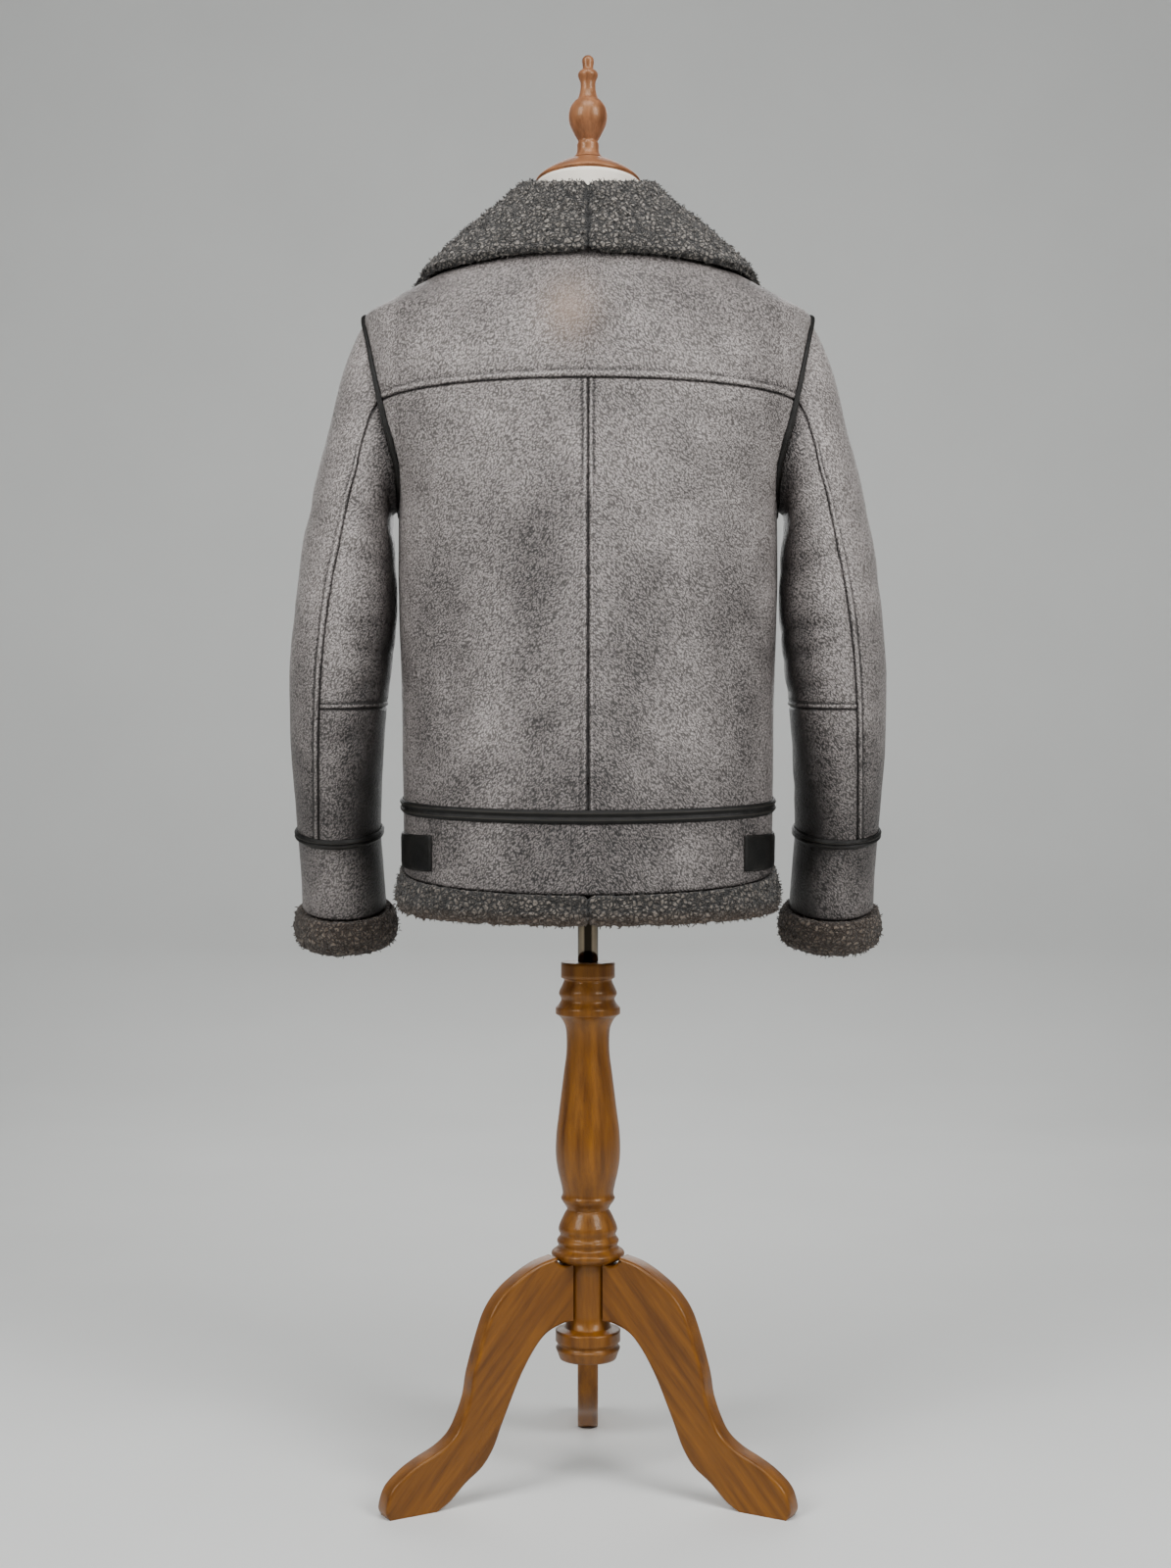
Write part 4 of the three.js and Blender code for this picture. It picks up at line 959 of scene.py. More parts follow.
def skin_relief(base, distances, seams, folds):
    """Relief of a leather panel: seams pulled in, raised laps beside them, creases and unevenness, with a
    tone of random patches, painted shade in the hollows, folds and seams and a painted highlight on the
    laps.
    """
    folded = FOLD_DEPTH * creases(base, folds)
    relief = lumps(base, SKIN_LUMPS)
    # Random patches, with painted shade: the tone follows the relief, darker in hollows and folds
    tone = lumps(base, SKIN_PATCHES) + 0.28 * relief + 0.2 * folded
    relief = relief + folded
    for edge, lap in seams:
        away = distances[edge]
        relief = relief + trough(away, 0, SEAM["half"], SEAM["deep"])
        # Painted shade in the seam's groove
        tone = tone - SEAM["dark"] * hump(away, 0, SEAM["dark_half"])
        if lap:
            relief = relief + trough(away, lap, LAP["half"], LAP["deep"])
            relief = relief + trough(away, lap / 2, lap / 3.2, -LAP["raised"])
            # Painted shade in the stitch line's groove and a painted highlight on the raised lap
            tone = tone - LAP["dark"] * hump(away, lap, LAP["dark_half"])
            tone = tone + LAP_LIGHT["light"] * hump(away, lap / 2, LAP_LIGHT["half"])
    return relief, tone


def skin_panel(name, base, inside, seams, folds, round_rows=False, warm=None, shade=0.0):
    """A shearling panel with its seams, topstitching and creases."""
    distances = edge_distances(base)
    relief, tone = skin_relief(base, distances, seams, folds)
    warm = np.zeros(tone.shape) if warm is None else warm
    # The tone mark carries random patches together with painted light and shade
    marks = {"tone": tone + broad_light(base) + shade, "warm": warm}
    outer, normals = cloth_wall(name, base, inside, relief, marks, "shearling_skin", round_rows=round_rows)
    for edge, lap in seams:
        if lap:
            line, up = line_at(distances[edge], lap, [outer, normals])
            sew(line, up)


def broad_light(base):
    """Painted light and shade on the skin: light and dark bands down the back, darker towards the bottom
    and on the yoke, lighter sleeves that darken lower down.
    """
    x, z = np.abs(base[..., 0]), base[..., 2]
    drift = noise(base, 90, 31)
    bands = sum(strength * hump(x - at - wander * drift, 0, half_width)
                for strength, at, half_width, wander in PAINTED_BANDS)
    low = fade(z, 1130, 830) * fade(z, 640, 760)
    below, yoke = fade(z, 900, 660), fade(z, 1100, 1140)
    on_body = PAINTED_LIGHT["bands"] * bands * low - PAINTED_LIGHT["below"] * below - PAINTED_LIGHT["yoke"] * yoke
    return np.where(x < BODY["width"][0] + 3, on_body, PAINTED_LIGHT["sleeve"] - PAINTED_LIGHT["sleeve_below"] * below)


def inner_shade(base):
    """Painted shade along the sleeve's side towards the body."""
    x, z = np.abs(base[..., 0]), base[..., 2]
    ring = np.interp(-z, -0.5 * (SLEEVE["outZ"] + SLEEVE["inZ"]), SLEEVE["ring"])
    inner, outer = smooth(SLEEVE, "inX", ring), smooth(SLEEVE, "outX", ring)
    share = (x - inner) / (outer - inner)
    return -PAINTED_INNER_SHADE["dark"] * np.clip(1 - share / PAINTED_INNER_SHADE["reach"], 0, 1) ** PAINTED_INNER_SHADE["power"]


def column_axis(base):
    return base * np.array([0, 0, 1.0])


def build_body():
    columns = shares_for(HALF_BACK, PANEL_STEP)
    to_arm = [("level", WAIST_LEVEL), ("level", SIDE_LEVEL), ("arm", 180)]
    to_neck = [("arm", 0), ("level", SHOULDER_LEVEL), ("level", NECK_LEVEL)]
    back = panel_points([*to_arm, ("arm", YOKE_ANGLE)], columns, 1, PANEL_STEP)
    front = panel_points(to_arm + to_neck, shares_for(HALF_BACK, FRONT_STEP), -1, FRONT_STEP)
    back_seams = [("first", 5.0), ("end", 0), ("last", 0), ("start", 0)]
    front_seams = [("first", 4.5), ("last", 0), ("start", 0)]
    for name, flip in SIDES:
        for place, base, seams, folds in (("back", back, back_seams, BACK_FOLDS),
                                          ("front", front, front_seams, FRONT_FOLDS)):
            skin_panel(f"{place}_{name}", flipped(base, flip), column_axis(base), seams,
                       folds_for(folds, flip))
    yoke = across(panel_points([("arm", YOKE_ANGLE), *to_neck], columns, 1, PANEL_STEP))
    warm_x, warm_z = (yoke[..., 0] - 18) / 26, (yoke[..., 2] - 1168) / 30
    patch = np.exp(-(warm_x ** 2) - (warm_z ** 2))
    skin_panel("back_yoke", yoke, column_axis(yoke), [("start", SEAM_LAP), ("first", 0), ("last", 0)],
               folds_for(YOKE_FOLDS, 1) + folds_for(YOKE_FOLDS, -1), warm=patch)
    band_stops = [("level", WAIST_LEVEL), ("level", FUR_SEAM)]
    band_seams = [("start", 0), ("first", 0), ("last", 0), ("end", 0)]
    band_back = across(panel_points(band_stops, columns, 1, PANEL_STEP))
    skin_panel("waistband_back", band_back, column_axis(band_back), band_seams,
               [((-120, 655), (60, 640), 12, 0.6)])
    band_front = panel_points(band_stops, columns, -1, PANEL_STEP)
    for name, flip in SIDES:
        skin_panel(f"waistband_front_{name}", flipped(band_front, flip), column_axis(band_front),
                   [("start", 0), ("first", 4.5), ("last", 0), ("end", 0)],
                   [((flip * 60, 660), (flip * 130, 640), 10, 0.6)])


def folds_for(folds, flip):
    """The same folds on either side, a little different on the second one."""
    if flip > 0:
        return folds
    return [((-x0 * 0.94, z0 - 9), (-x1 * 1.05, z1 + 7), wide * 1.1, depth * 0.85)
            for (x0, z0), (x1, z1), wide, depth in folds]


# Trims and tabs

TRIM_ROWS = 17
RIDGES = table("share height", [[0, 0.8], [0.25, 3.0], [0.5, 1.5], [0.75, 3.0], [1, 0.8]])


def ridge_relief(base, press):
    """Two soft ridges across a bound strip, a little uneven along it, with a painted highlight and some
    wear along their tops.
    """
    shares = np.linspace(0, 1, base.shape[0])[:, None]
    ridges = smooth(RIDGES, "height", shares)
    height = lumps(base, RIDGE_LUMPS, ridges * press + LIFT)
    highlight_and_wear_from, highlight_and_wear_tops = 2.8, 3.2
    # Painted highlight and some wear along the ridge tops
    tone = highlight_and_wear_tops * np.clip(ridges - highlight_and_wear_from, 0, 0.3) + 0.06 * noise(base, 7, 43)
    return height, np.broadcast_to(tone, height.shape)


def half_round(level, shares):
    """Points at a level from the centre back to the side and on to the front edge."""
    back = body_point(*panel_row(("level", level), shares, 1), 1)
    front = body_point(*panel_row(("level", level), shares, -1), -1)
    return np.concatenate([back, front[-2::-1]])


def trim(name, base, inside, lift, press=1.0, round_rows=False):
    """A bound strip that lies the given lift above what is under it."""
    relief, tone = ridge_relief(base, press)
    raised = base + grid_normals(base, inside, round_rows) * lift
    cloth_wall(name, raised, inside, relief - LIFT, {"tone": tone}, "black_leather", thick=0.0,
               round_rows=round_rows, ridged=True)


def build_trims():
    shares = shares_for(300, 2.4)
    across_strip = np.linspace(0, 1, TRIM_ROWS)
    half = np.array([half_round(WAIST_LEVEL + WAIST_TRIM * (0.5 - s), shares) for s in across_strip])
    whole = across(half)
    trim("waist_trim", whole, column_axis(whole), LIFT)
    angles = np.linspace(0, 360, 240, endpoint=False)
    side = np.where(angles <= 180, 1, -1)
    folded = np.where(angles <= 180, angles, 360 - angles)
    rows = []
    for share in np.linspace(0.22, 0.97, TRIM_ROWS):
        y, z = armhole(folded, ARM_TRIM * share)
        rows.append(body_point(turn_at(y, z, side), z, side))
    ring = np.array(rows)
    press = np.clip((160 - folded) / 60, 0.25, 1)[None]  # flatter under the arm
    for name, flip in SIDES:
        trim(f"armhole_trim_{name}", flipped(ring, flip), column_axis(ring), ARM_LIFT, press, True)


def build_tabs():
    """Side tabs with a folded end, a sewn cross and pressed creases."""
    shares = np.linspace(5 / 9, 1, 37)
    levels = table("share level rise", [[0, 661, -4], [0.33, 650, -5], [0.66, 639, -6], [1, 627.4, -7]])
    rows = []
    for share in np.linspace(0, 1, 25):
        level, rise = smooth(levels, "level", share), smooth(levels, "rise", share)
        back = body_point(90 * shares, level_height(level, 90 * shares, 1, rise=rise), 1)
        first = centre_turn(level, -1)
        turn = first + (90 - first) * shares
        front = body_point(turn, level_height(level, turn, -1, rise=-rise), -1)
        rows.append(np.concatenate([back, front[-2::-1]]))
    base = np.array(rows)
    for name, flip in SIDES:
        points = flipped(base, flip)
        distances = edge_distances(points)
        relief = TAB_THICK + 0.12 * noise(points, 8, 51) + trough(distances["first"], 5.5, 0.9, 0.8)
        for edge in ("start", "end", "first", "last"):
            relief = relief + trough(distances[edge], 0, 1.3, 1.1)  # turned under
            relief = relief + trough(distances[edge], 2.6, 0.7, 0.35)  # and sewn
        slant = distances["first"] - 6 - 0.75 * distances["start"]
        relief = relief + trough(slant, 0, 1.1, 0.45) * (distances["first"] < 32)
        raised = points + grid_normals(points, column_axis(points)) * LIFT
        cloth_wall(f"side_tab_{name}", raised, column_axis(points), relief,
                   {"tone": 0.1 * noise(points, 12, 52)}, "black_leather", thick=0.0)


# Sleeves and cuffs

def sleeve_ellipse(angle, ring):
    c, s = np.cos(np.radians(angle)), np.sin(np.radians(angle))
    at = {name: smooth(SLEEVE, name, ring) for name in SLEEVE}
    x = (at["outX"] + at["inX"]) / 2 + (at["outX"] - at["inX"]) / 2 * c
    z = (at["outZ"] + at["inZ"]) / 2 + (at["outZ"] - at["inZ"]) / 2 * c - at["drop"] * s
    return np.stack([x, at["midY"] + at["depth"] * s, z], -1)


def sleeve_point(angle, ring):
    angle, ring = np.broadcast_arrays(np.asarray(angle, float), np.asarray(ring, float))
    whole = np.mod(angle, 360)
    side = np.where(whole <= 180, 1, -1)
    y, z = armhole(np.where(whole <= 180, whole, 360 - whole), 0)
    edge = body_point(turn_at(y, z, side), z, side)
    keep = smooth(SLEEVE, "keep", ring)[..., None]
    return sleeve_ellipse(angle, ring) + keep * (edge - sleeve_ellipse(angle, np.zeros(ring.shape)))


def sleeve_inside(rings, columns):
    middle = (sleeve_ellipse(0.0, rings) + sleeve_ellipse(180.0, rings)) / 2
    return np.repeat(middle[:, None], columns, axis=1)


def sleeve_grid(first_ring, last_ring, under, columns, rows):
    rings = np.linspace(first_ring, last_ring, rows)
    back, front = smooth(SLEEVE, "seam", rings)[:, None], smooth(SLEEVE, "under", rings)[:, None]
    shares = np.linspace(0, 1, columns)[None]
    angles = back + (front - back) * shares if under else front - 360 + (back - front + 360) * shares
    return sleeve_point(angles, rings[:, None]), sleeve_inside(rings, columns)


TOP_FOLDS = [
    ((292, 1000), (262, 960), 10, 1.3),
    ((300, 880), (276, 850), 9, 1.1),
    ((288, 940), (300, 890), 12, 1.0),
    ((262, 1100), (280, 1030), 14, 0.9),
    ((300, 740), (270, 720), 8, 0.9),
]
UNDER_FOLDS = [
    ((214, 968), (262, 1010), 11, 1.8),
    ((206, 930), (258, 940), 9, 1.4),
    ((204, 872), (236, 862), 7, 1.5),
    ((203, 842), (240, 846), 6, 1.2),
    ((206, 812), (232, 802), 6, 1.3),
    ((262, 900), (276, 850), 8, 0.9),
    ((224, 760), (270, 742), 8, 1.1),
    ((214, 716), (240, 700), 7, 0.9),
]


# Piece, first and last ring, whether it lies under, columns, rows, seams with their laps, folds
SLEEVE_PANELS = [
    ("sleeve_top", 0, CUFF_SEAM, False, 85, 257, [("last", 6.0), ("first", 0), ("start", 0)], TOP_FOLDS),
    ("sleeve_under_upper", 0, ELBOW_RING, True, 77, 177,
     [("first", 0), ("last", 0), ("end", 6.0), ("start", 0)], UNDER_FOLDS),
    ("sleeve_under_lower", ELBOW_RING, CUFF_SEAM, True, 77, 61,
     [("first", 0), ("last", 0), ("start", 0)], UNDER_FOLDS),
]
CUFF_COLUMNS = 176


def build_sleeves():
    for name, flip in SIDES:
        for piece, first, last, under, columns, rows, seams, folds in SLEEVE_PANELS:
            base, inside = sleeve_grid(first, last, under, columns, rows)
            skin_panel(f"{piece}_{name}", flipped(base, flip), flipped(inside, flip), seams,
                       folds_for(folds, flip), shade=inner_shade(base))
        angles = np.linspace(0, 360, CUFF_COLUMNS, endpoint=False)[None]
        rings = np.linspace(CUFF_SEAM, CUFF_END, 33)
        inside = sleeve_inside(rings, CUFF_COLUMNS)
        band = sleeve_point(angles, rings[:, None])
        skin_panel(f"cuff_band_{name}", flipped(band, flip), flipped(inside, flip),
                   [("start", 0), ("end", 0)], [((flip * 260, 640), (flip * 290, 610), 10, 0.7)],
                   round_rows=True, shade=inner_shade(band))
        rings = np.linspace(CUFF_SEAM - 0.5, CUFF_SEAM + 0.5, TRIM_ROWS)
        trim(f"cuff_trim_{name}", flipped(sleeve_point(angles, rings[:, None]), flip),
             flipped(sleeve_inside(rings, CUFF_COLUMNS), flip), LIFT, round_rows=True)


# Fur

LOCK = {"scatter": 0.6, "splay": 0.42, "length": (1.2, 2.8), "hook": (0.5, 1.5)}
# Lock rings carry painted shade: darker at the root, lighter at the tip
LOCK_RINGS = [(0.0, 0.62, -0.5), (0.5, 0.55, -0.1), (0.9, 0.42, 0.25)]  # share of the length, radius, shade
LOCK_TIP_SHADE = 0.45
FUR_BED = {"level": 0.92, "uneven": 0.9, "sunk": 0.4, "sewn_reach": 7, "sewn_least": 0.12}
# Curl size and depth of each fur, and how many locks stand out of it
COLLAR_PILE = (4.8, 3.2, 4300)
HEM_PILE = (5.0, 3.4, 2400)
CUFF_PILE = (4.6, 3.4, 1100)
SECTION_POINTS = {"collar": 140, "hem": 56, "cuff": 46}


def centre_seam(section, seed):
    """Distance of each point from the back's ragged centre seam, and far from it in front."""
    far = 99
    away = np.abs(section[..., 0]) * (section[..., 1] > 0) + far * (section[..., 1] <= 0)
    return away * (1 + 0.9 * noise(section, 7, seed))


def refine(points, steps, closed=False):
    """A smooth curve through points along the first axis, with the given steps for each span."""
    count = len(points)
    if closed:
        index = np.arange(count)
        around = [points[(index + k) % count] for k in (-1, 0, 1, 2)]
    else:
        index = np.arange(count - 1)
        around = [points[np.clip(index + k, 0, count - 1)] for k in (-1, 0, 1, 2)]
    p0, p1, p2, p3 = around
    t = (np.arange(steps) / steps).reshape((1, steps) + (1,) * (points.ndim - 1))
    p0, p1, p2, p3 = (p[:, None] for p in (p0, p1, p2, p3))
    square, cube = 2 * p0 - 5 * p1 + 4 * p2 - p3, 3 * p1 - p0 - 3 * p2 + p3
    curve = 0.5 * (2 * p1 + (p2 - p0) * t + square * t ** 2 + cube * t ** 3)
    curve = curve.reshape((-1,) + points.shape[1:])
    return curve if closed else np.concatenate([curve, points[-1:]])


def even_loop(loops, count):
    """Evens out the points round each closed loop, by the mean loop's own length."""
    fine = refine(loops, 12, closed=True)
    ring = np.concatenate([fine, fine[:1]])
    step = np.linalg.norm(np.diff(ring, axis=0), axis=-1).mean(axis=1)
    long = np.concatenate([[0], np.cumsum(step)])
    at = np.arange(count) / count * long[-1]
    index = np.interp(at, long, np.arange(len(long)))
    low = np.floor(index).astype(int)
    share = (index - low)[:, None, None]
    return ring[low] * (1 - share) + ring[low + 1] * share


def curl_height(points, size):
    """Curls of wool: round heads with gaps that the wool's colour paints in shade, twisted by soft noise.
    From 0 in a gap to 1.
    """
    bent = points + size * 0.55 * np.stack([noise(points, size * 1.3, 60 + k) for k in range(3)], -1)
    heads = 1 - cells(bent, size, 5) ** 1.6
    small = 1 - cells(bent, size * 0.52, 9) ** 1.5
    return np.clip(0.68 * heads + 0.32 * small, 0, 1)


def end_fan(flat, ring, middle, outward):
    """The points with the middle of a ring added, and the triangles that close the ring there."""
    flat = np.concatenate([flat, middle[None]])
    fan = np.stack([np.full(len(ring), len(flat) - 1), ring, np.roll(ring, -1)], -1)
    a, b, c = (flat[fan[0, k]] for k in range(3))
    return flat, fan if np.cross(b - a, c - a) @ outward > 0 else fan[:, ::-1]


def fur_piece(name, loops, finish, pile_form, dents=None, round_rows=False, brown=0.0, sewn=()):
    """A fur roll from section loops: its pile stands in curls, flatter near the sewn lines, with
    loose locks."""
    curl, depth, locks = pile_form
    inside = np.repeat(loops.mean(axis=0, keepdims=True), len(loops), axis=0)
    normals = grid_normals(loops, inside, round_rows, round_columns=True)
    height = curl_height(loops, curl)
    uneven = FUR_BED["uneven"] * lumps(loops, FUR_LUMPS)
    sunk = depth * (height - FUR_BED["level"]) + uneven - FUR_BED["sunk"]
    for line in sewn:
        away = np.linalg.norm(loops - line, axis=-1)
        sunk = sunk * np.clip(away / FUR_BED["sewn_reach"], FUR_BED["sewn_least"], 1)
    if dents is not None:
        sunk = sunk - dents
        # Painted shade in the dent of the centre seam
        height = height - 0.45 * np.clip(dents - 1, 0, 3)
    points = loops + normals * sunk[..., None]
    rows, columns = loops.shape[:2]
    quads = grid_quads(rows, columns, 0, round_rows)
    top = np.stack([np.arange(columns), np.roll(np.arange(columns), -1)], 1)
    top = top if round_rows else top[:-1]
    foot = (rows - 1) * columns + top
    seam = np.concatenate([foot, top[:, ::-1]], axis=1)
    flat = points.reshape(-1, 3)
    faces = [np.concatenate([quads, seam])]
    if not facing_out(flat, faces[0], normals.reshape(-1, 3)):
        faces = [faces[0][:, ::-1]]
    pile = height.ravel()
    tint = np.broadcast_to(brown, height.shape).ravel()
    if not round_rows:
        for column, further_in in ((0, 2), (columns - 1, -3)):
            ring = np.arange(rows) * columns + column
            middle = flat[ring].mean(axis=0)
            flat, fan = end_fan(flat, ring, middle, middle - points[:, further_in].mean(axis=0))
            faces.append(fan)
            pile, tint = np.append(pile, 0.4), np.append(tint, 0.0)
    piece = make_piece(name, flat, faces, finish, [name], marks={"pile": pile, "brown": tint})
    together = []
    together = [fur_locks(f"{name}_curls", points, normals, height, finish, locks, tint[:height.size])]
    run = np.concatenate([loops, loops[:, :1]], axis=1) if round_rows else loops
    run = np.linalg.norm(np.diff(run, axis=1), axis=-1).sum(axis=1).max() / 1000


def fur_locks(name, points, normals, height, finish, count, tint):
    """Short hooked locks that stand out of the pile, thicker at the root."""
    flat, up, top = points.reshape(-1, 3), normals.reshape(-1, 3), height.ravel()
    weight = np.clip(top - 0.25, 0.02, 1)
    chosen = RNG.choice(len(flat), count, p=weight / weight.sum())
    root = flat[chosen] + RNG.normal(0, LOCK["scatter"], (count, 3))
    out = unit(up[chosen] + RNG.normal(0, LOCK["splay"], (count, 3)))
    lean = unit(np.cross(out, RNG.normal(0, 1, (count, 3))))
    long = RNG.uniform(*LOCK["length"], (count, 1))
    hook = RNG.uniform(*LOCK["hook"], (count, 1))
    rings, shades = [], []
    for share, radius, shade in LOCK_RINGS:
        middle = root + out * long * (share - 0.18) + lean * long * hook * share ** 2 * 0.6
        rings += tube_rings(middle, np.cross(out, lean), lean, radius, (90, 210, 330))
        shades += [shade] * 3
    rings.append(root + out * long * 0.86 + lean * long * hook * 0.95)
    shades.append(LOCK_TIP_SHADE)
    block = np.stack(rings, 1).reshape(-1, 3)
    tip = len(rings) - 1
    ends = np.array([(tip - 3 + k, tip - 3 + (k + 1) % 3, tip) for k in range(3)])
    first = np.arange(count)[:, None, None] * len(rings)
    # Painted shade on each lock, from its root to its tip
    pile = (top[chosen][:, None] * 0.7 + np.array(shades)[None]).ravel()
    brown = np.repeat(tint[chosen], len(rings))
    faces = [(first + grid_quads(3, 3, 0, True)[None]).reshape(-1, 4), (first + ends[None]).reshape(-1, 3)]
    return make_piece(name, block, faces, finish, marks={"pile": pile, "brown": brown})


def build_hem():
    shares = np.linspace(0, 1, 97)
    loops = []
    for share, offset in HEM_ROLL:
        level = FUR_SEAM + (HEM - FUR_SEAM) * share
        row = half_round(level, shares)
        side = np.concatenate([np.ones(len(shares)), -np.ones(len(shares) - 1)])
        back_turns, front_turns = (panel_row(("level", level), shares, s)[0] for s in (1, -1))
        turns = np.concatenate([back_turns, front_turns[-2::-1]])
        loops.append(row + body_normal(turns, row[..., 2], side) * offset - np.array([0, 0, GAP]))
    section = even_loop(np.array(loops), SECTION_POINTS["hem"])
    lowest = section[..., 2].min(axis=0)
    low = fade(section[..., 2], lowest + 16, lowest)
    dents = 3.4 * hump(centre_seam(section, 78), 0, 2.2) * fade(section[..., 2], FUR_SEAM - 3, FUR_SEAM - 9)
    for name, flip in SIDES:
        fur_piece(f"hem_fur_{name}", flipped(section, flip), "hem_wool", HEM_PILE, dents, brown=0.32 * low,
                  sewn=[flipped(loop, flip) for loop in loops[:2]])


def build_cuff_fur():
    angles = np.linspace(0, 360, 110, endpoint=False)
    loops = []
    for share, offset in CUFF_ROLL:
        ring = CUFF_END + CUFF_FUR_RINGS * share
        around = sleeve_point(angles + 2, ring) - sleeve_point(angles - 2, ring)
        along = sleeve_point(angles, min(ring + 0.1, 16)) - sleeve_point(angles, ring - 0.1)
        loops.append(sleeve_point(angles, ring) + unit(np.cross(along, around)) * offset)
    section = even_loop(np.array(loops), SECTION_POINTS["cuff"])
    for name, flip in SIDES:
        fur_piece(f"cuff_fur_{name}", flipped(section, flip), "cuff_wool", CUFF_PILE, round_rows=True,
                  brown=0.12, sewn=[flipped(loop, flip) for loop in loops[:2]])


def clear_of_body(points, distance):
    """Moves points out until they are the given distance above the body."""
    points = points.copy()
    for _ in range(3):
        side = np.where(points[..., 1] >= 0, 1, -1)
        z = np.minimum(points[..., 2], BODY["z"][-1])
        share = np.abs(points[..., 1]) / by_side(BODY, z, side)
        turn = np.degrees(np.arctan2(points[..., 0] / smooth(BODY, "width", z), share))
        normal = body_normal(turn, z, side)
        height = np.sum((points - body_point(turn, z, side)) * normal, axis=-1)
        points += normal * np.maximum(0, distance - height)[..., None]
    return points


def collar_loops(angle):
    """Sections of the collar's stand, fold and leaf at each angle round the neck."""
    thin = 1 - COLLAR_TIP["thin"] * fade(angle, COLLAR_END, COLLAR_END + COLLAR_TIP["past"]) ** 2
    at = {name: smooth(COLLAR, name, angle) for name in COLLAR}
    direction = np.stack([np.sin(np.radians(angle)), np.cos(np.radians(angle)), np.zeros(len(angle))], -1)
    side = np.where(at["edgeTurn"] <= 90, 1, -1)
    turn = np.where(side > 0, at["edgeTurn"], 180 - at["edgeTurn"])
    edge_lift = body_normal(turn, at["edgeZ"], side) * (EDGE_HALF + COLLAR_REST)
    edge = body_point(turn, at["edgeZ"], side) + edge_lift
    fold = direction * at["foldR"][:, None] + np.stack([0 * angle, 0 * angle, at["foldZ"]], -1)
    neck_side = np.where(angle <= 90, 1, -1)
    neck_turn = np.where(angle <= 90, angle, 180 - angle)
    neck_z = level_height(NECK_LEVEL, neck_turn, neck_side)
    foot = body_point(neck_turn, neck_z, neck_side)
    foot = foot - COLLAR_FOOT["inside"] * body_normal(neck_turn, neck_z, neck_side)
    foot[:, 2] += np.where(angle > COLLAR_FOOT["back_end"], COLLAR_FOOT["up_front"], COLLAR_FOOT["up"])
    rest = np.where(angle > 90, 2 * COLLAR_REST, COLLAR_REST)

    def between(start, end, share):
        return start + (end - start) * share

    middle = np.array([
        foot, between(foot, fold, 0.55), between(fold, foot, 0.12), fold + np.array([0, 0, 2.0]),
        *(between(fold, edge, share) for share in (0.14, 0.4, 0.7)), edge])
    along = np.concatenate([middle[1:], middle[-1:]]) - np.concatenate([middle[:1], middle[:-1]])
    over = np.sum(along * direction, axis=-1)
    sideways = unit(np.stack([0 * over, 0 * over, over], -1) - direction * along[..., 2:])
    half = np.array(COLLAR_HALF)[:, None, None] * thin[:, None]
    outer, inner = middle + sideways * half, middle - sideways * half
    for i in (4, 5, 6, 7):
        push = clear_of_body(inner[i], 2.5 * COLLAR_REST if i < 7 else rest) - inner[i]
        inner[i] += push
        outer[i] += push
    tip = unit(edge - middle[6])
    nose = clear_of_body((outer[7] + inner[7]) / 2 + tip * COLLAR_NOSE, rest)
    crease = (inner[2] + inner[4]) / 2
    return np.stack([*outer, nose, inner[7], inner[6], inner[5], crease, inner[0]])


def build_collar():
    tip = COLLAR_END + COLLAR_TIP["past"] * np.array([0.35, 0.7, 1])
    angle = np.concatenate([np.linspace(0, COLLAR_END, 190), tip])
    section = even_loop(collar_loops(angle), SECTION_POINTS["collar"])
    from_centre = centre_seam(section, 77)
    dents = 3.6 * hump(from_centre, 0, 2.2) + 0.9 * hump(from_centre, 0, 7)
    for name, flip in SIDES:
        fur_piece(f"collar_{name}", flipped(section, flip), "collar_wool", COLLAR_PILE, dents)


# Zip

BOX_CORNERS = np.array([(x, y, z) for x in (-1, 1) for y in (-1, 1) for z in (-1, 1)], float)


def box_faces(first):
    quads = np.array([(0, 1, 3, 2), (4, 6, 7, 5), (0, 4, 5, 1), (2, 3, 7, 6), (0, 2, 6, 4), (1, 5, 7, 3)])
    return first + quads


def boxes(name, places, half, finish):
    """Many small blocks with softened edges, joined as one piece."""
    points = (np.asarray(places)[:, None] + (BOX_CORNERS * half)[None]).reshape(-1, 3)
    faces = np.concatenate([box_faces(8 * k) for k in range(len(places))])
    soften(make_piece(name, points, [faces], finish), 0.25, 1)


def soften(piece, width, segments):
    bevel = piece.modifiers.new("soft edges", "BEVEL")
    bevel.width = width / 1000
    bevel.segments = segments
    bevel.limit_method = "ANGLE"
    bevel.harden_normals = True


def zip_frame():
    """The slider's place and lean, as in the frame."""
    depth = smooth(BODY, "front", SLIDER["level"] - TAPE_ABOVE) - TAPE_BEHIND + 0.5
    lean = -math.radians(SLIDER["lean"])
    turn = np.array([[1, 0, 0], [0, math.cos(lean), -math.sin(lean)], [0, math.sin(lean), math.cos(lean)]])
    return lambda points: np.asarray(points, float) @ turn.T + np.array([0, -depth, SLIDER["level"]])


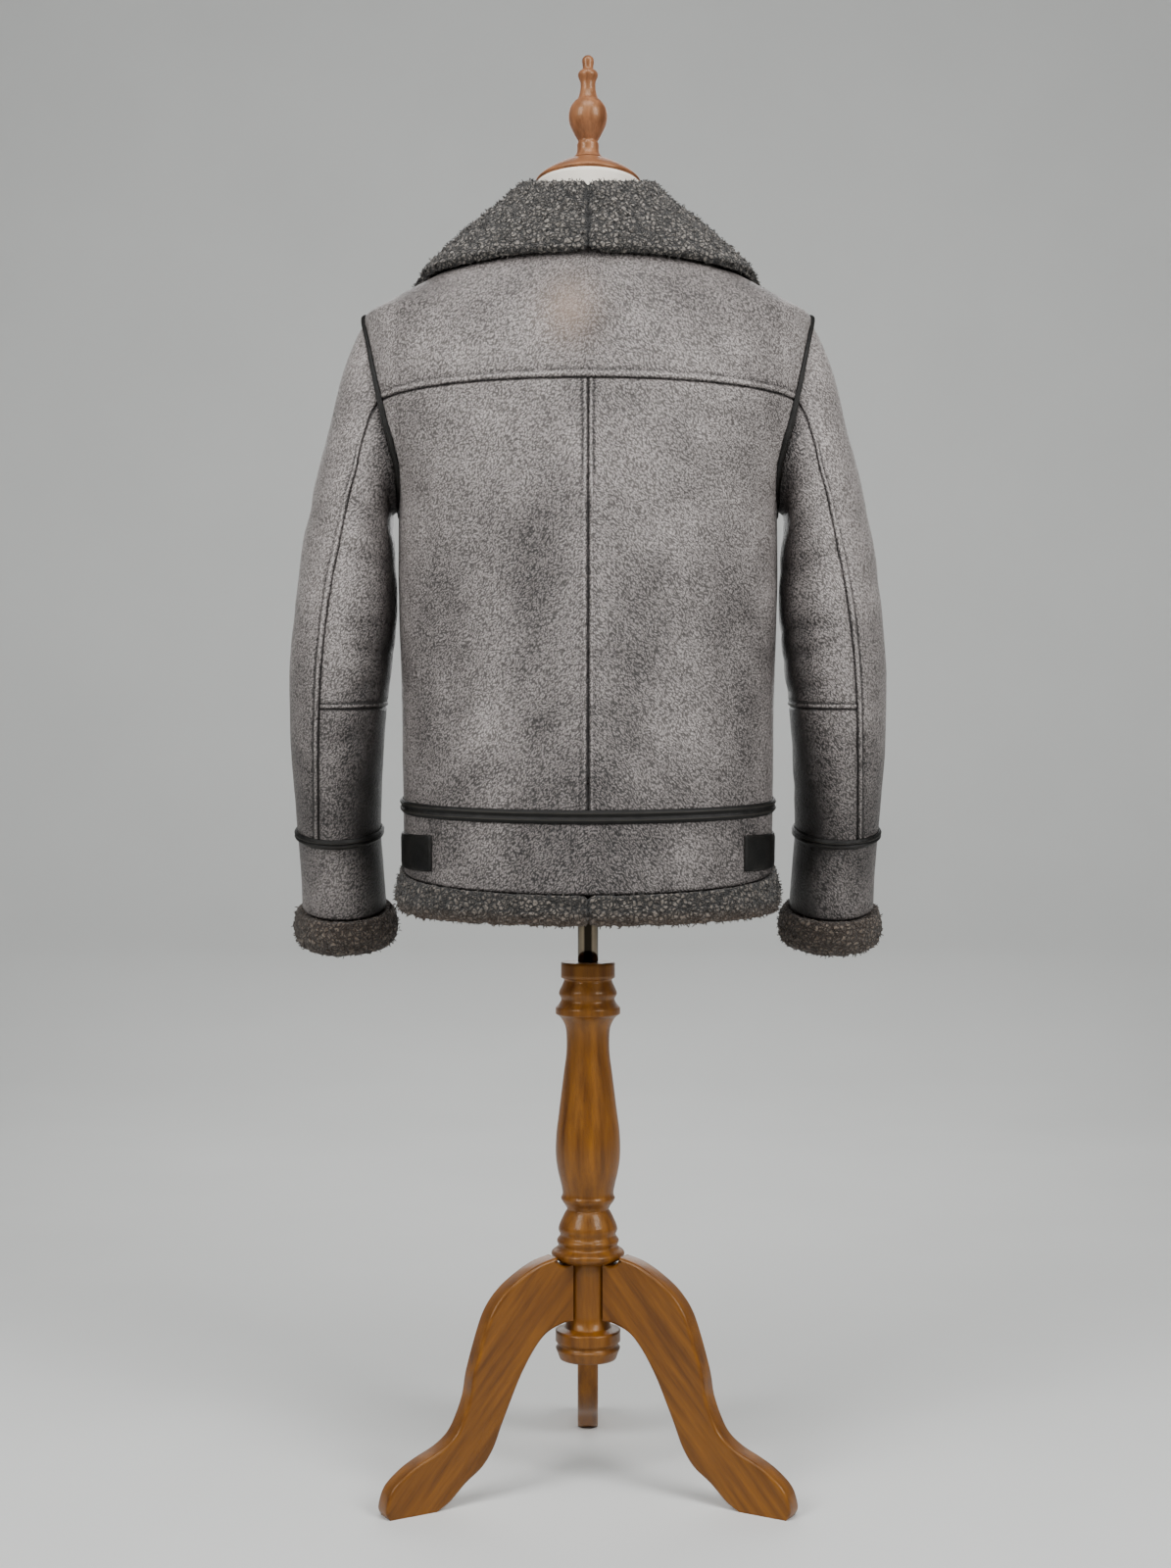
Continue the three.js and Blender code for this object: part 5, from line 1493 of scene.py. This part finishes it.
def build_zip():
    levels = np.concatenate([np.linspace(HEM + 4, 1180, 220), np.linspace(1183, 1214, 9)])
    depth = smooth(BODY, "front", levels) - TAPE_BEHIND
    for name, flip in SIDES:
        lines = [np.stack([np.full(len(levels), flip * x), -depth, levels + TAPE_ABOVE], -1)
                 for x in np.linspace(0.15, ZIP_HALF - GAP, 5)]
        base = np.stack(lines, 1)
        cloth_wall(f"zip_tape_{name}", base, column_axis(base), 0.05 * noise(base, 3, 81),
                   {"tone": np.zeros(base.shape[:2])}, "zip_tape", thick=TAPE_THICK)
    tooth_levels = np.arange(HEM + TEETH["first"], SLIDER["level"] - TEETH["below_slider"], TEETH["pitch"])
    tooth_depth = -(smooth(BODY, "front", tooth_levels - TAPE_ABOVE) - TAPE_BEHIND) - TEETH["forward"]
    aside = TEETH["aside"] * (-1.0) ** np.arange(len(tooth_levels))
    places = np.stack([aside, tooth_depth, tooth_levels], -1)
    boxes("zip_teeth", places, np.array(TOOTH_HALF), "zip_metal")
    place = zip_frame()
    pivot = (-(SLIDER["thick"] + PULL_EYE["outer"] + 0.4), 2.0)
    lug_x, lug_deep = PULL["width"] / 2 + GAP + PULL["lug"] / 2, PULL_EYE["outer"] + 1.9
    lug_y = -SLIDER["thick"] - lug_deep / 2 + 0.4
    # the body, two lugs and the pin between them: middle and half size of each
    body_half = (SLIDER["width"] / 2, SLIDER["thick"] / 2, SLIDER["height"] / 2)
    parts = [((0, -SLIDER["thick"] / 2, 0), body_half),
             ((lug_x, lug_y, pivot[1]), (PULL["lug"] / 2, lug_deep / 2, 2)),
             ((-lug_x, lug_y, pivot[1]), (PULL["lug"] / 2, lug_deep / 2, 2)),
             ((0, pivot[0], pivot[1]), (lug_x, PULL["pin"] * 0.75, PULL["pin"] * 0.75))]
    points = [BOX_CORNERS * np.array(half) + np.array(middle) for middle, half in parts]
    faces = [box_faces(8 * k) for k in range(len(parts))]
    slider = make_piece("zip_slider", place(np.concatenate(points)), [np.concatenate(faces)], "zip_metal",
                        ["zip_slider"])
    soften(slider, 0.55, 2)
    build_pull(place, pivot)


def build_pull(place, pivot):
    """The pull tab: an eye round the slider's pin and a rounded plate."""
    angles = np.radians(np.linspace(-90 + PULL_EYE["gap"], 270 - PULL_EYE["gap"], 33))
    around = np.stack([np.cos(angles), np.sin(angles)], -1)
    eye, hole = PULL_EYE["outer"] * around, PULL_EYE["hole"] * around
    half = PULL["width"] / 2
    points, faces = [], []
    for x in (-half, half):
        points += [(x, pivot[0] + a, pivot[1] + b) for a, b in eye]
        points += [(x, pivot[0] + a, pivot[1] + b) for a, b in hole]
    count = len(angles)
    for k in range(count - 1):
        for side in (0, 2 * count):
            faces.append((side + k, side + k + 1, side + count + k + 1, side + count + k))
        faces.append((k, k + 1, 2 * count + k + 1, 2 * count + k))
        faces.append((count + k, count + k + 1, 3 * count + k + 1, 3 * count + k))
    first = len(points)
    top, low = -PULL_EYE["outer"] * 0.55, -PULL["length"]
    thick = PULL["thick"] / 2
    for z, inset in ((top, 0.6), (top - 1.5, 0.0), (low + 1.2, 0.0), (low, 0.9)):
        wide = half - inset
        for x, y in ((-wide, -thick), (wide, -thick), (wide, thick), (-wide, thick)):
            points.append((x, pivot[0] + y, pivot[1] + z))
    ends = np.array([(0, 1, 2, 3), (12, 13, 14, 15)])
    faces = np.concatenate([np.array(faces), first + grid_quads(4, 4, 0, True), first + ends])
    pull = make_piece("zip_pull", place(points), [faces], "zip_metal", ["zip_pull"], body=PULL_PIECE)
    soften(pull, 0.25, 2)


# Dress form and stand

def loft(name, rings, finish, grain=None):
    """A round piece from rings of points, closed at its ends."""
    rows, columns = rings.shape[:2]
    flat = rings.reshape(-1, 3)
    faces = [grid_quads(rows, columns, 0, True)]
    middle = rings.mean(axis=1)
    if not facing_out(flat, faces[0], unit(rings - middle[:, None]).reshape(-1, 3)):
        faces = [faces[0][:, ::-1]]
    outward = unit(middle[-1] - middle[0])
    for row, way in ((0, -1), (rows - 1, 1)):
        flat, fan = end_fan(flat, row * columns + np.arange(columns), middle[row], outward * way)
        faces.append(fan)
    marks = None
    if grain is not None:
        ends = [grain.reshape(rows, columns, -1)[k].mean(axis=0, keepdims=True) for k in (0, -1)]
        marks = {"grain": np.concatenate([grain, *ends])}
    make_piece(name, flat, faces, finish, [name], marks=marks)


def grain_along(points, direction, turn=0.0):
    """Where each point lies along and across the wood's grain, in metres."""
    along = np.asarray(direction, float) / np.linalg.norm(direction)
    side = unit(np.cross(along, [0.3, 1.0, 0.2]))
    other = np.cross(along, side)
    return np.stack([points @ along + turn, points @ side, points @ other], -1) / 1000


def build_form():
    rings = []
    quarter = np.linspace(0, 1, 25)
    sides = [(quarter, 1), (quarter[::-1][1:], -1)]

    def whole(half):
        return np.concatenate([half, flipped(half[-2:0:-1], -1)])

    for z in np.linspace(FORM["z"][0], FORM["z"][-1], FORM_ROWS):
        half = []
        for shares, side in sides:
            turn = np.radians(90 * shares)
            s, c = np.sin(turn), np.cos(turn)
            r = (s ** FORM_SQUARE + c ** FORM_SQUARE) ** (-1 / FORM_SQUARE)
            y = by_side(FORM, z, side) * side * r * c
            half.append(np.stack([smooth(FORM, "width", z) * r * s, y, 0 * r + z], -1))
        rings.append(whole(np.concatenate(half)))
    for level in (1192, 1205, 1218, 1232):
        half = []
        for shares, side in sides:
            turn = 90 * shares
            z = level_height(level, turn, side)
            half.append(body_point(turn, z, side) - (WALL + FORM_EASE) * body_normal(turn, z, side))
        rings.append(whole(np.concatenate(half)))
    for radius, z, tilt in FORM_NECK:
        turn = np.radians(np.concatenate([90 * quarter, 90 + 90 * quarter[1:]]))
        y = radius * np.cos(turn)
        rings.append(whole(np.stack([radius * np.sin(turn), y, z + y * math.tan(math.radians(tilt))], -1)))
    rings = np.array(rings)
    upper = FORM_ROWS - 2  # from here up the rows are wider apart, so they are refined
    loft("form_torso", np.concatenate([rings[:upper], refine(rings[upper:], 5)]), "jersey")


def lathe_rings(profile, segments, steps, corners):
    """Rings of a turned piece. Its profile is rounded between the corners."""
    points = np.array(profile, float)
    cuts = sorted({0, len(points) - 1, *corners})
    parts = [refine(points[a:b + 1], steps) for a, b in zip(cuts, cuts[1:])]
    line = np.concatenate([part if k == 0 else part[1:] for k, part in enumerate(parts)])
    line = np.maximum(line, np.array([0.05, 0]))
    angles = np.linspace(0, 2 * math.pi, segments, endpoint=False)
    x, y = line[:, :1] * np.cos(angles), line[:, :1] * np.sin(angles)
    return np.stack([x, y, np.repeat(line[:, 1:], segments, axis=1)], -1)


def build_stand():
    post = lathe_rings(POST, 76, 4, corners=(1, 2, 7, 8, 20, 21, 29, 30, 31, 32, 33, 35, 36))
    post = post + 0.12 * unit(post * np.array([1, 1, 0])) * noise(post, 30, 91)[..., None]
    loft("post", post, "post_wood", grain_along(post.reshape(-1, 3), (0.02, 0, 1)))
    finial = lathe_rings(FINIAL, 56, 4, corners=(20,))
    loft("finial", finial, "finial_wood", grain_along(finial.reshape(-1, 3), (0, 0.05, 1), 0.2))
    angles = np.linspace(0, 2 * math.pi, 96, endpoint=False)
    rings = []
    for radius, z, tilt in CAP:
        y = radius * np.sin(angles)
        rings.append(np.stack([radius * np.cos(angles), y, z + y * math.tan(math.radians(tilt))], -1))
    cap = refine(np.array(rings), 4)
    loft("neck_cap", cap, "finial_wood", grain_along(cap.reshape(-1, 3), (1, 0.1, 0), 0.1))
    foot = POST[0][1] + GAP
    narrow = POLE_RADIUS - 0.5
    pole = [(0, foot), (narrow, foot), (POLE_RADIUS, foot + 0.6), (POLE_RADIUS, POLE_TOP - 0.7),
            (narrow, POLE_TOP), (0, POLE_TOP)]
    loft("pole", lathe_rings(pole, 64, 2, corners=(1, 2, 3, 4)), "chrome")
    for name, turn in LEG_TURNS.items():
        build_leg(name, turn)


def build_leg(name, turn):
    """A shaped leg: its outline in the leg's own plane, with rounded edges on both faces."""
    outline = np.array(LEG, float)
    cuts = list(LEG_CORNERS)
    parts = [refine(outline[a:b + 1], 5)[:-1] for a, b in zip(cuts, cuts[1:])]
    line = np.concatenate([*parts, outline[-1:]])
    ring = np.concatenate([line[-1:], line, line[:1]])
    tangent = unit(ring[2:] - ring[:-2])
    inward = np.stack([tangent[:, 1], -tangent[:, 0]], -1)
    area = np.sum(line[:, 0] * np.roll(line[:, 1], -1) - np.roll(line[:, 0], -1) * line[:, 1])
    inward = inward if area < 0 else -inward
    half = LEG_THICK / 2
    rounding = np.radians([0, 22.5, 45, 67.5, 90])
    steps = [(LEG_ROUND + 0.8, half)]
    steps += [(LEG_ROUND * (1 - math.sin(a)), half - LEG_ROUND * (1 - math.cos(a))) for a in rounding]
    steps = steps + [(inset, -deep) for inset, deep in reversed(steps)]
    free = np.clip((line[:, 0] - 26) / 6, 0, 1) * np.clip(line[:, 1] / 4, 0.05, 1)
    free = np.maximum(free, 0.05)[:, None]
    loops = np.array([np.column_stack([line + inward * (inset * free), np.full(len(line), deep)])
                      for inset, deep in steps])
    rows, columns = loops.shape[:2]
    faces = grid_quads(rows, columns, 0, True)
    flat = loops.reshape(-1, 3)
    cap = np.array([list(t) for t in tessellate_polygon([[(x, y, 0) for x, y, _ in loops[0]]])])
    a = math.radians(turn)
    placed = np.stack([flat[:, 0] * math.cos(a) + flat[:, 2] * math.sin(a),
                       flat[:, 0] * math.sin(a) - flat[:, 2] * math.cos(a), flat[:, 1]], -1)
    grain = grain_along(np.stack([flat[:, 0], flat[:, 2], flat[:, 1]], -1), (0.66, 0, -0.75), turn / 300)
    piece = make_piece(name, placed, [faces, cap, cap[:, ::-1] + (rows - 1) * columns], "post_wood", [name],
                       marks={"grain": grain})
    bpy.context.view_layer.update()
    fix_facing(piece)


def fix_facing(piece):
    """Turns all faces of a closed mesh outward."""
    work = bmesh.new()
    work.from_mesh(piece.data)
    bmesh.ops.recalc_face_normals(work, faces=work.faces)
    work.to_mesh(piece.data)
    work.free()


# Studio

# Place in metres, size and power of each lamp
LAMPS = [
    ("key_left", (1.9, 1.9, 2.3), (1.2, 1.6), 66),
    ("key_right", (-1.9, 1.9, 2.3), (1.2, 1.6), 74),
    ("top", (0, 1.0, 3.0), (1.6, 1.2), 40),
    ("front_fill", (0, -2.6, 1.8), (2.4, 2.0), 30),
]
LAMPS_AIM = (0, 0.05, 1.1)
CAMERA = {"distance": 2.150, "height": 0.709, "aside": 0.0025, "sensor": 36.0, "lens": 48.4}
FLOOR = {"half": 6.0, "near": 4.5, "bend": -2.2, "radius": 1.2, "top": 6.0}


def add_light(name, place, aim, size, power):
    data = bpy.data.lights.new(name, "AREA")
    data.shape, data.size, data.size_y = "RECTANGLE", size[0], size[1]
    data.energy = power
    lamp = bpy.data.objects.new(name, data)
    bpy.context.scene.collection.objects.link(lamp)
    lamp.location = place
    away = np.array(aim, float) - np.array(place, float)
    flat = math.hypot(away[0], away[1])
    lamp.rotation_euler = (math.atan2(flat, -away[2]), 0, math.atan2(away[0], -away[1]) + math.pi)


def build_studio():
    """Camera as the photograph was taken, soft lamps and a pale floor that curves up behind."""
    data = bpy.data.cameras.new("camera")
    data.sensor_fit, data.sensor_height, data.lens = "VERTICAL", CAMERA["sensor"], CAMERA["lens"]
    camera = bpy.data.objects.new("camera", data)
    bpy.context.scene.collection.objects.link(camera)
    camera.location = (CAMERA["aside"], COLUMN_Y / 1000 + CAMERA["distance"], CAMERA["height"])
    camera.rotation_euler = (math.radians(90), 0, math.radians(180))
    bpy.context.scene.camera = camera
    for name, place, size, power in LAMPS:
        add_light(name, place, LAMPS_AIM, size, power)
    world = bpy.data.worlds.new("studio")
    world.use_nodes = True
    world.node_tree.nodes["Background"].inputs[0].default_value = (0.82, 0.84, 0.84, 1)
    world.node_tree.nodes["Background"].inputs[1].default_value = 0.2
    bpy.context.scene.world = world
    radius = FLOOR["radius"]
    line = [(FLOOR["near"], 0.0), (FLOOR["bend"], 0.0)]
    line += [(FLOOR["bend"] - radius * math.sin(a), radius - radius * math.cos(a))
             for a in np.radians([15, 30, 45, 60, 75, 90])]
    line.append((FLOOR["bend"] - radius, FLOOR["top"]))
    vertices = [(x, y, z) for y, z in line for x in (-FLOOR["half"], FLOOR["half"])]
    faces = [(2 * k, 2 * k + 1, 2 * k + 3, 2 * k + 2) for k in range(len(line) - 1)]
    mesh = bpy.data.meshes.new("floor")
    mesh.from_pydata(vertices, [], faces)
    pale = mottled_material("pale_floor", 3.0, 3.0, linear(214, 215, 213), linear(222, 223, 221), 0.8)
    mesh.materials.append(pale)
    mesh.polygons.foreach_set("use_smooth", [True] * len(faces))
    floor = bpy.data.objects.new("floor", mesh)
    bpy.context.scene.collection.objects.link(floor)


build_body()
build_sleeves()
build_trims()
build_tabs()
build_collar()
build_hem()
build_cuff_fur()
build_zip()
build_form()
build_stand()
stitch_piece()
build_studio()
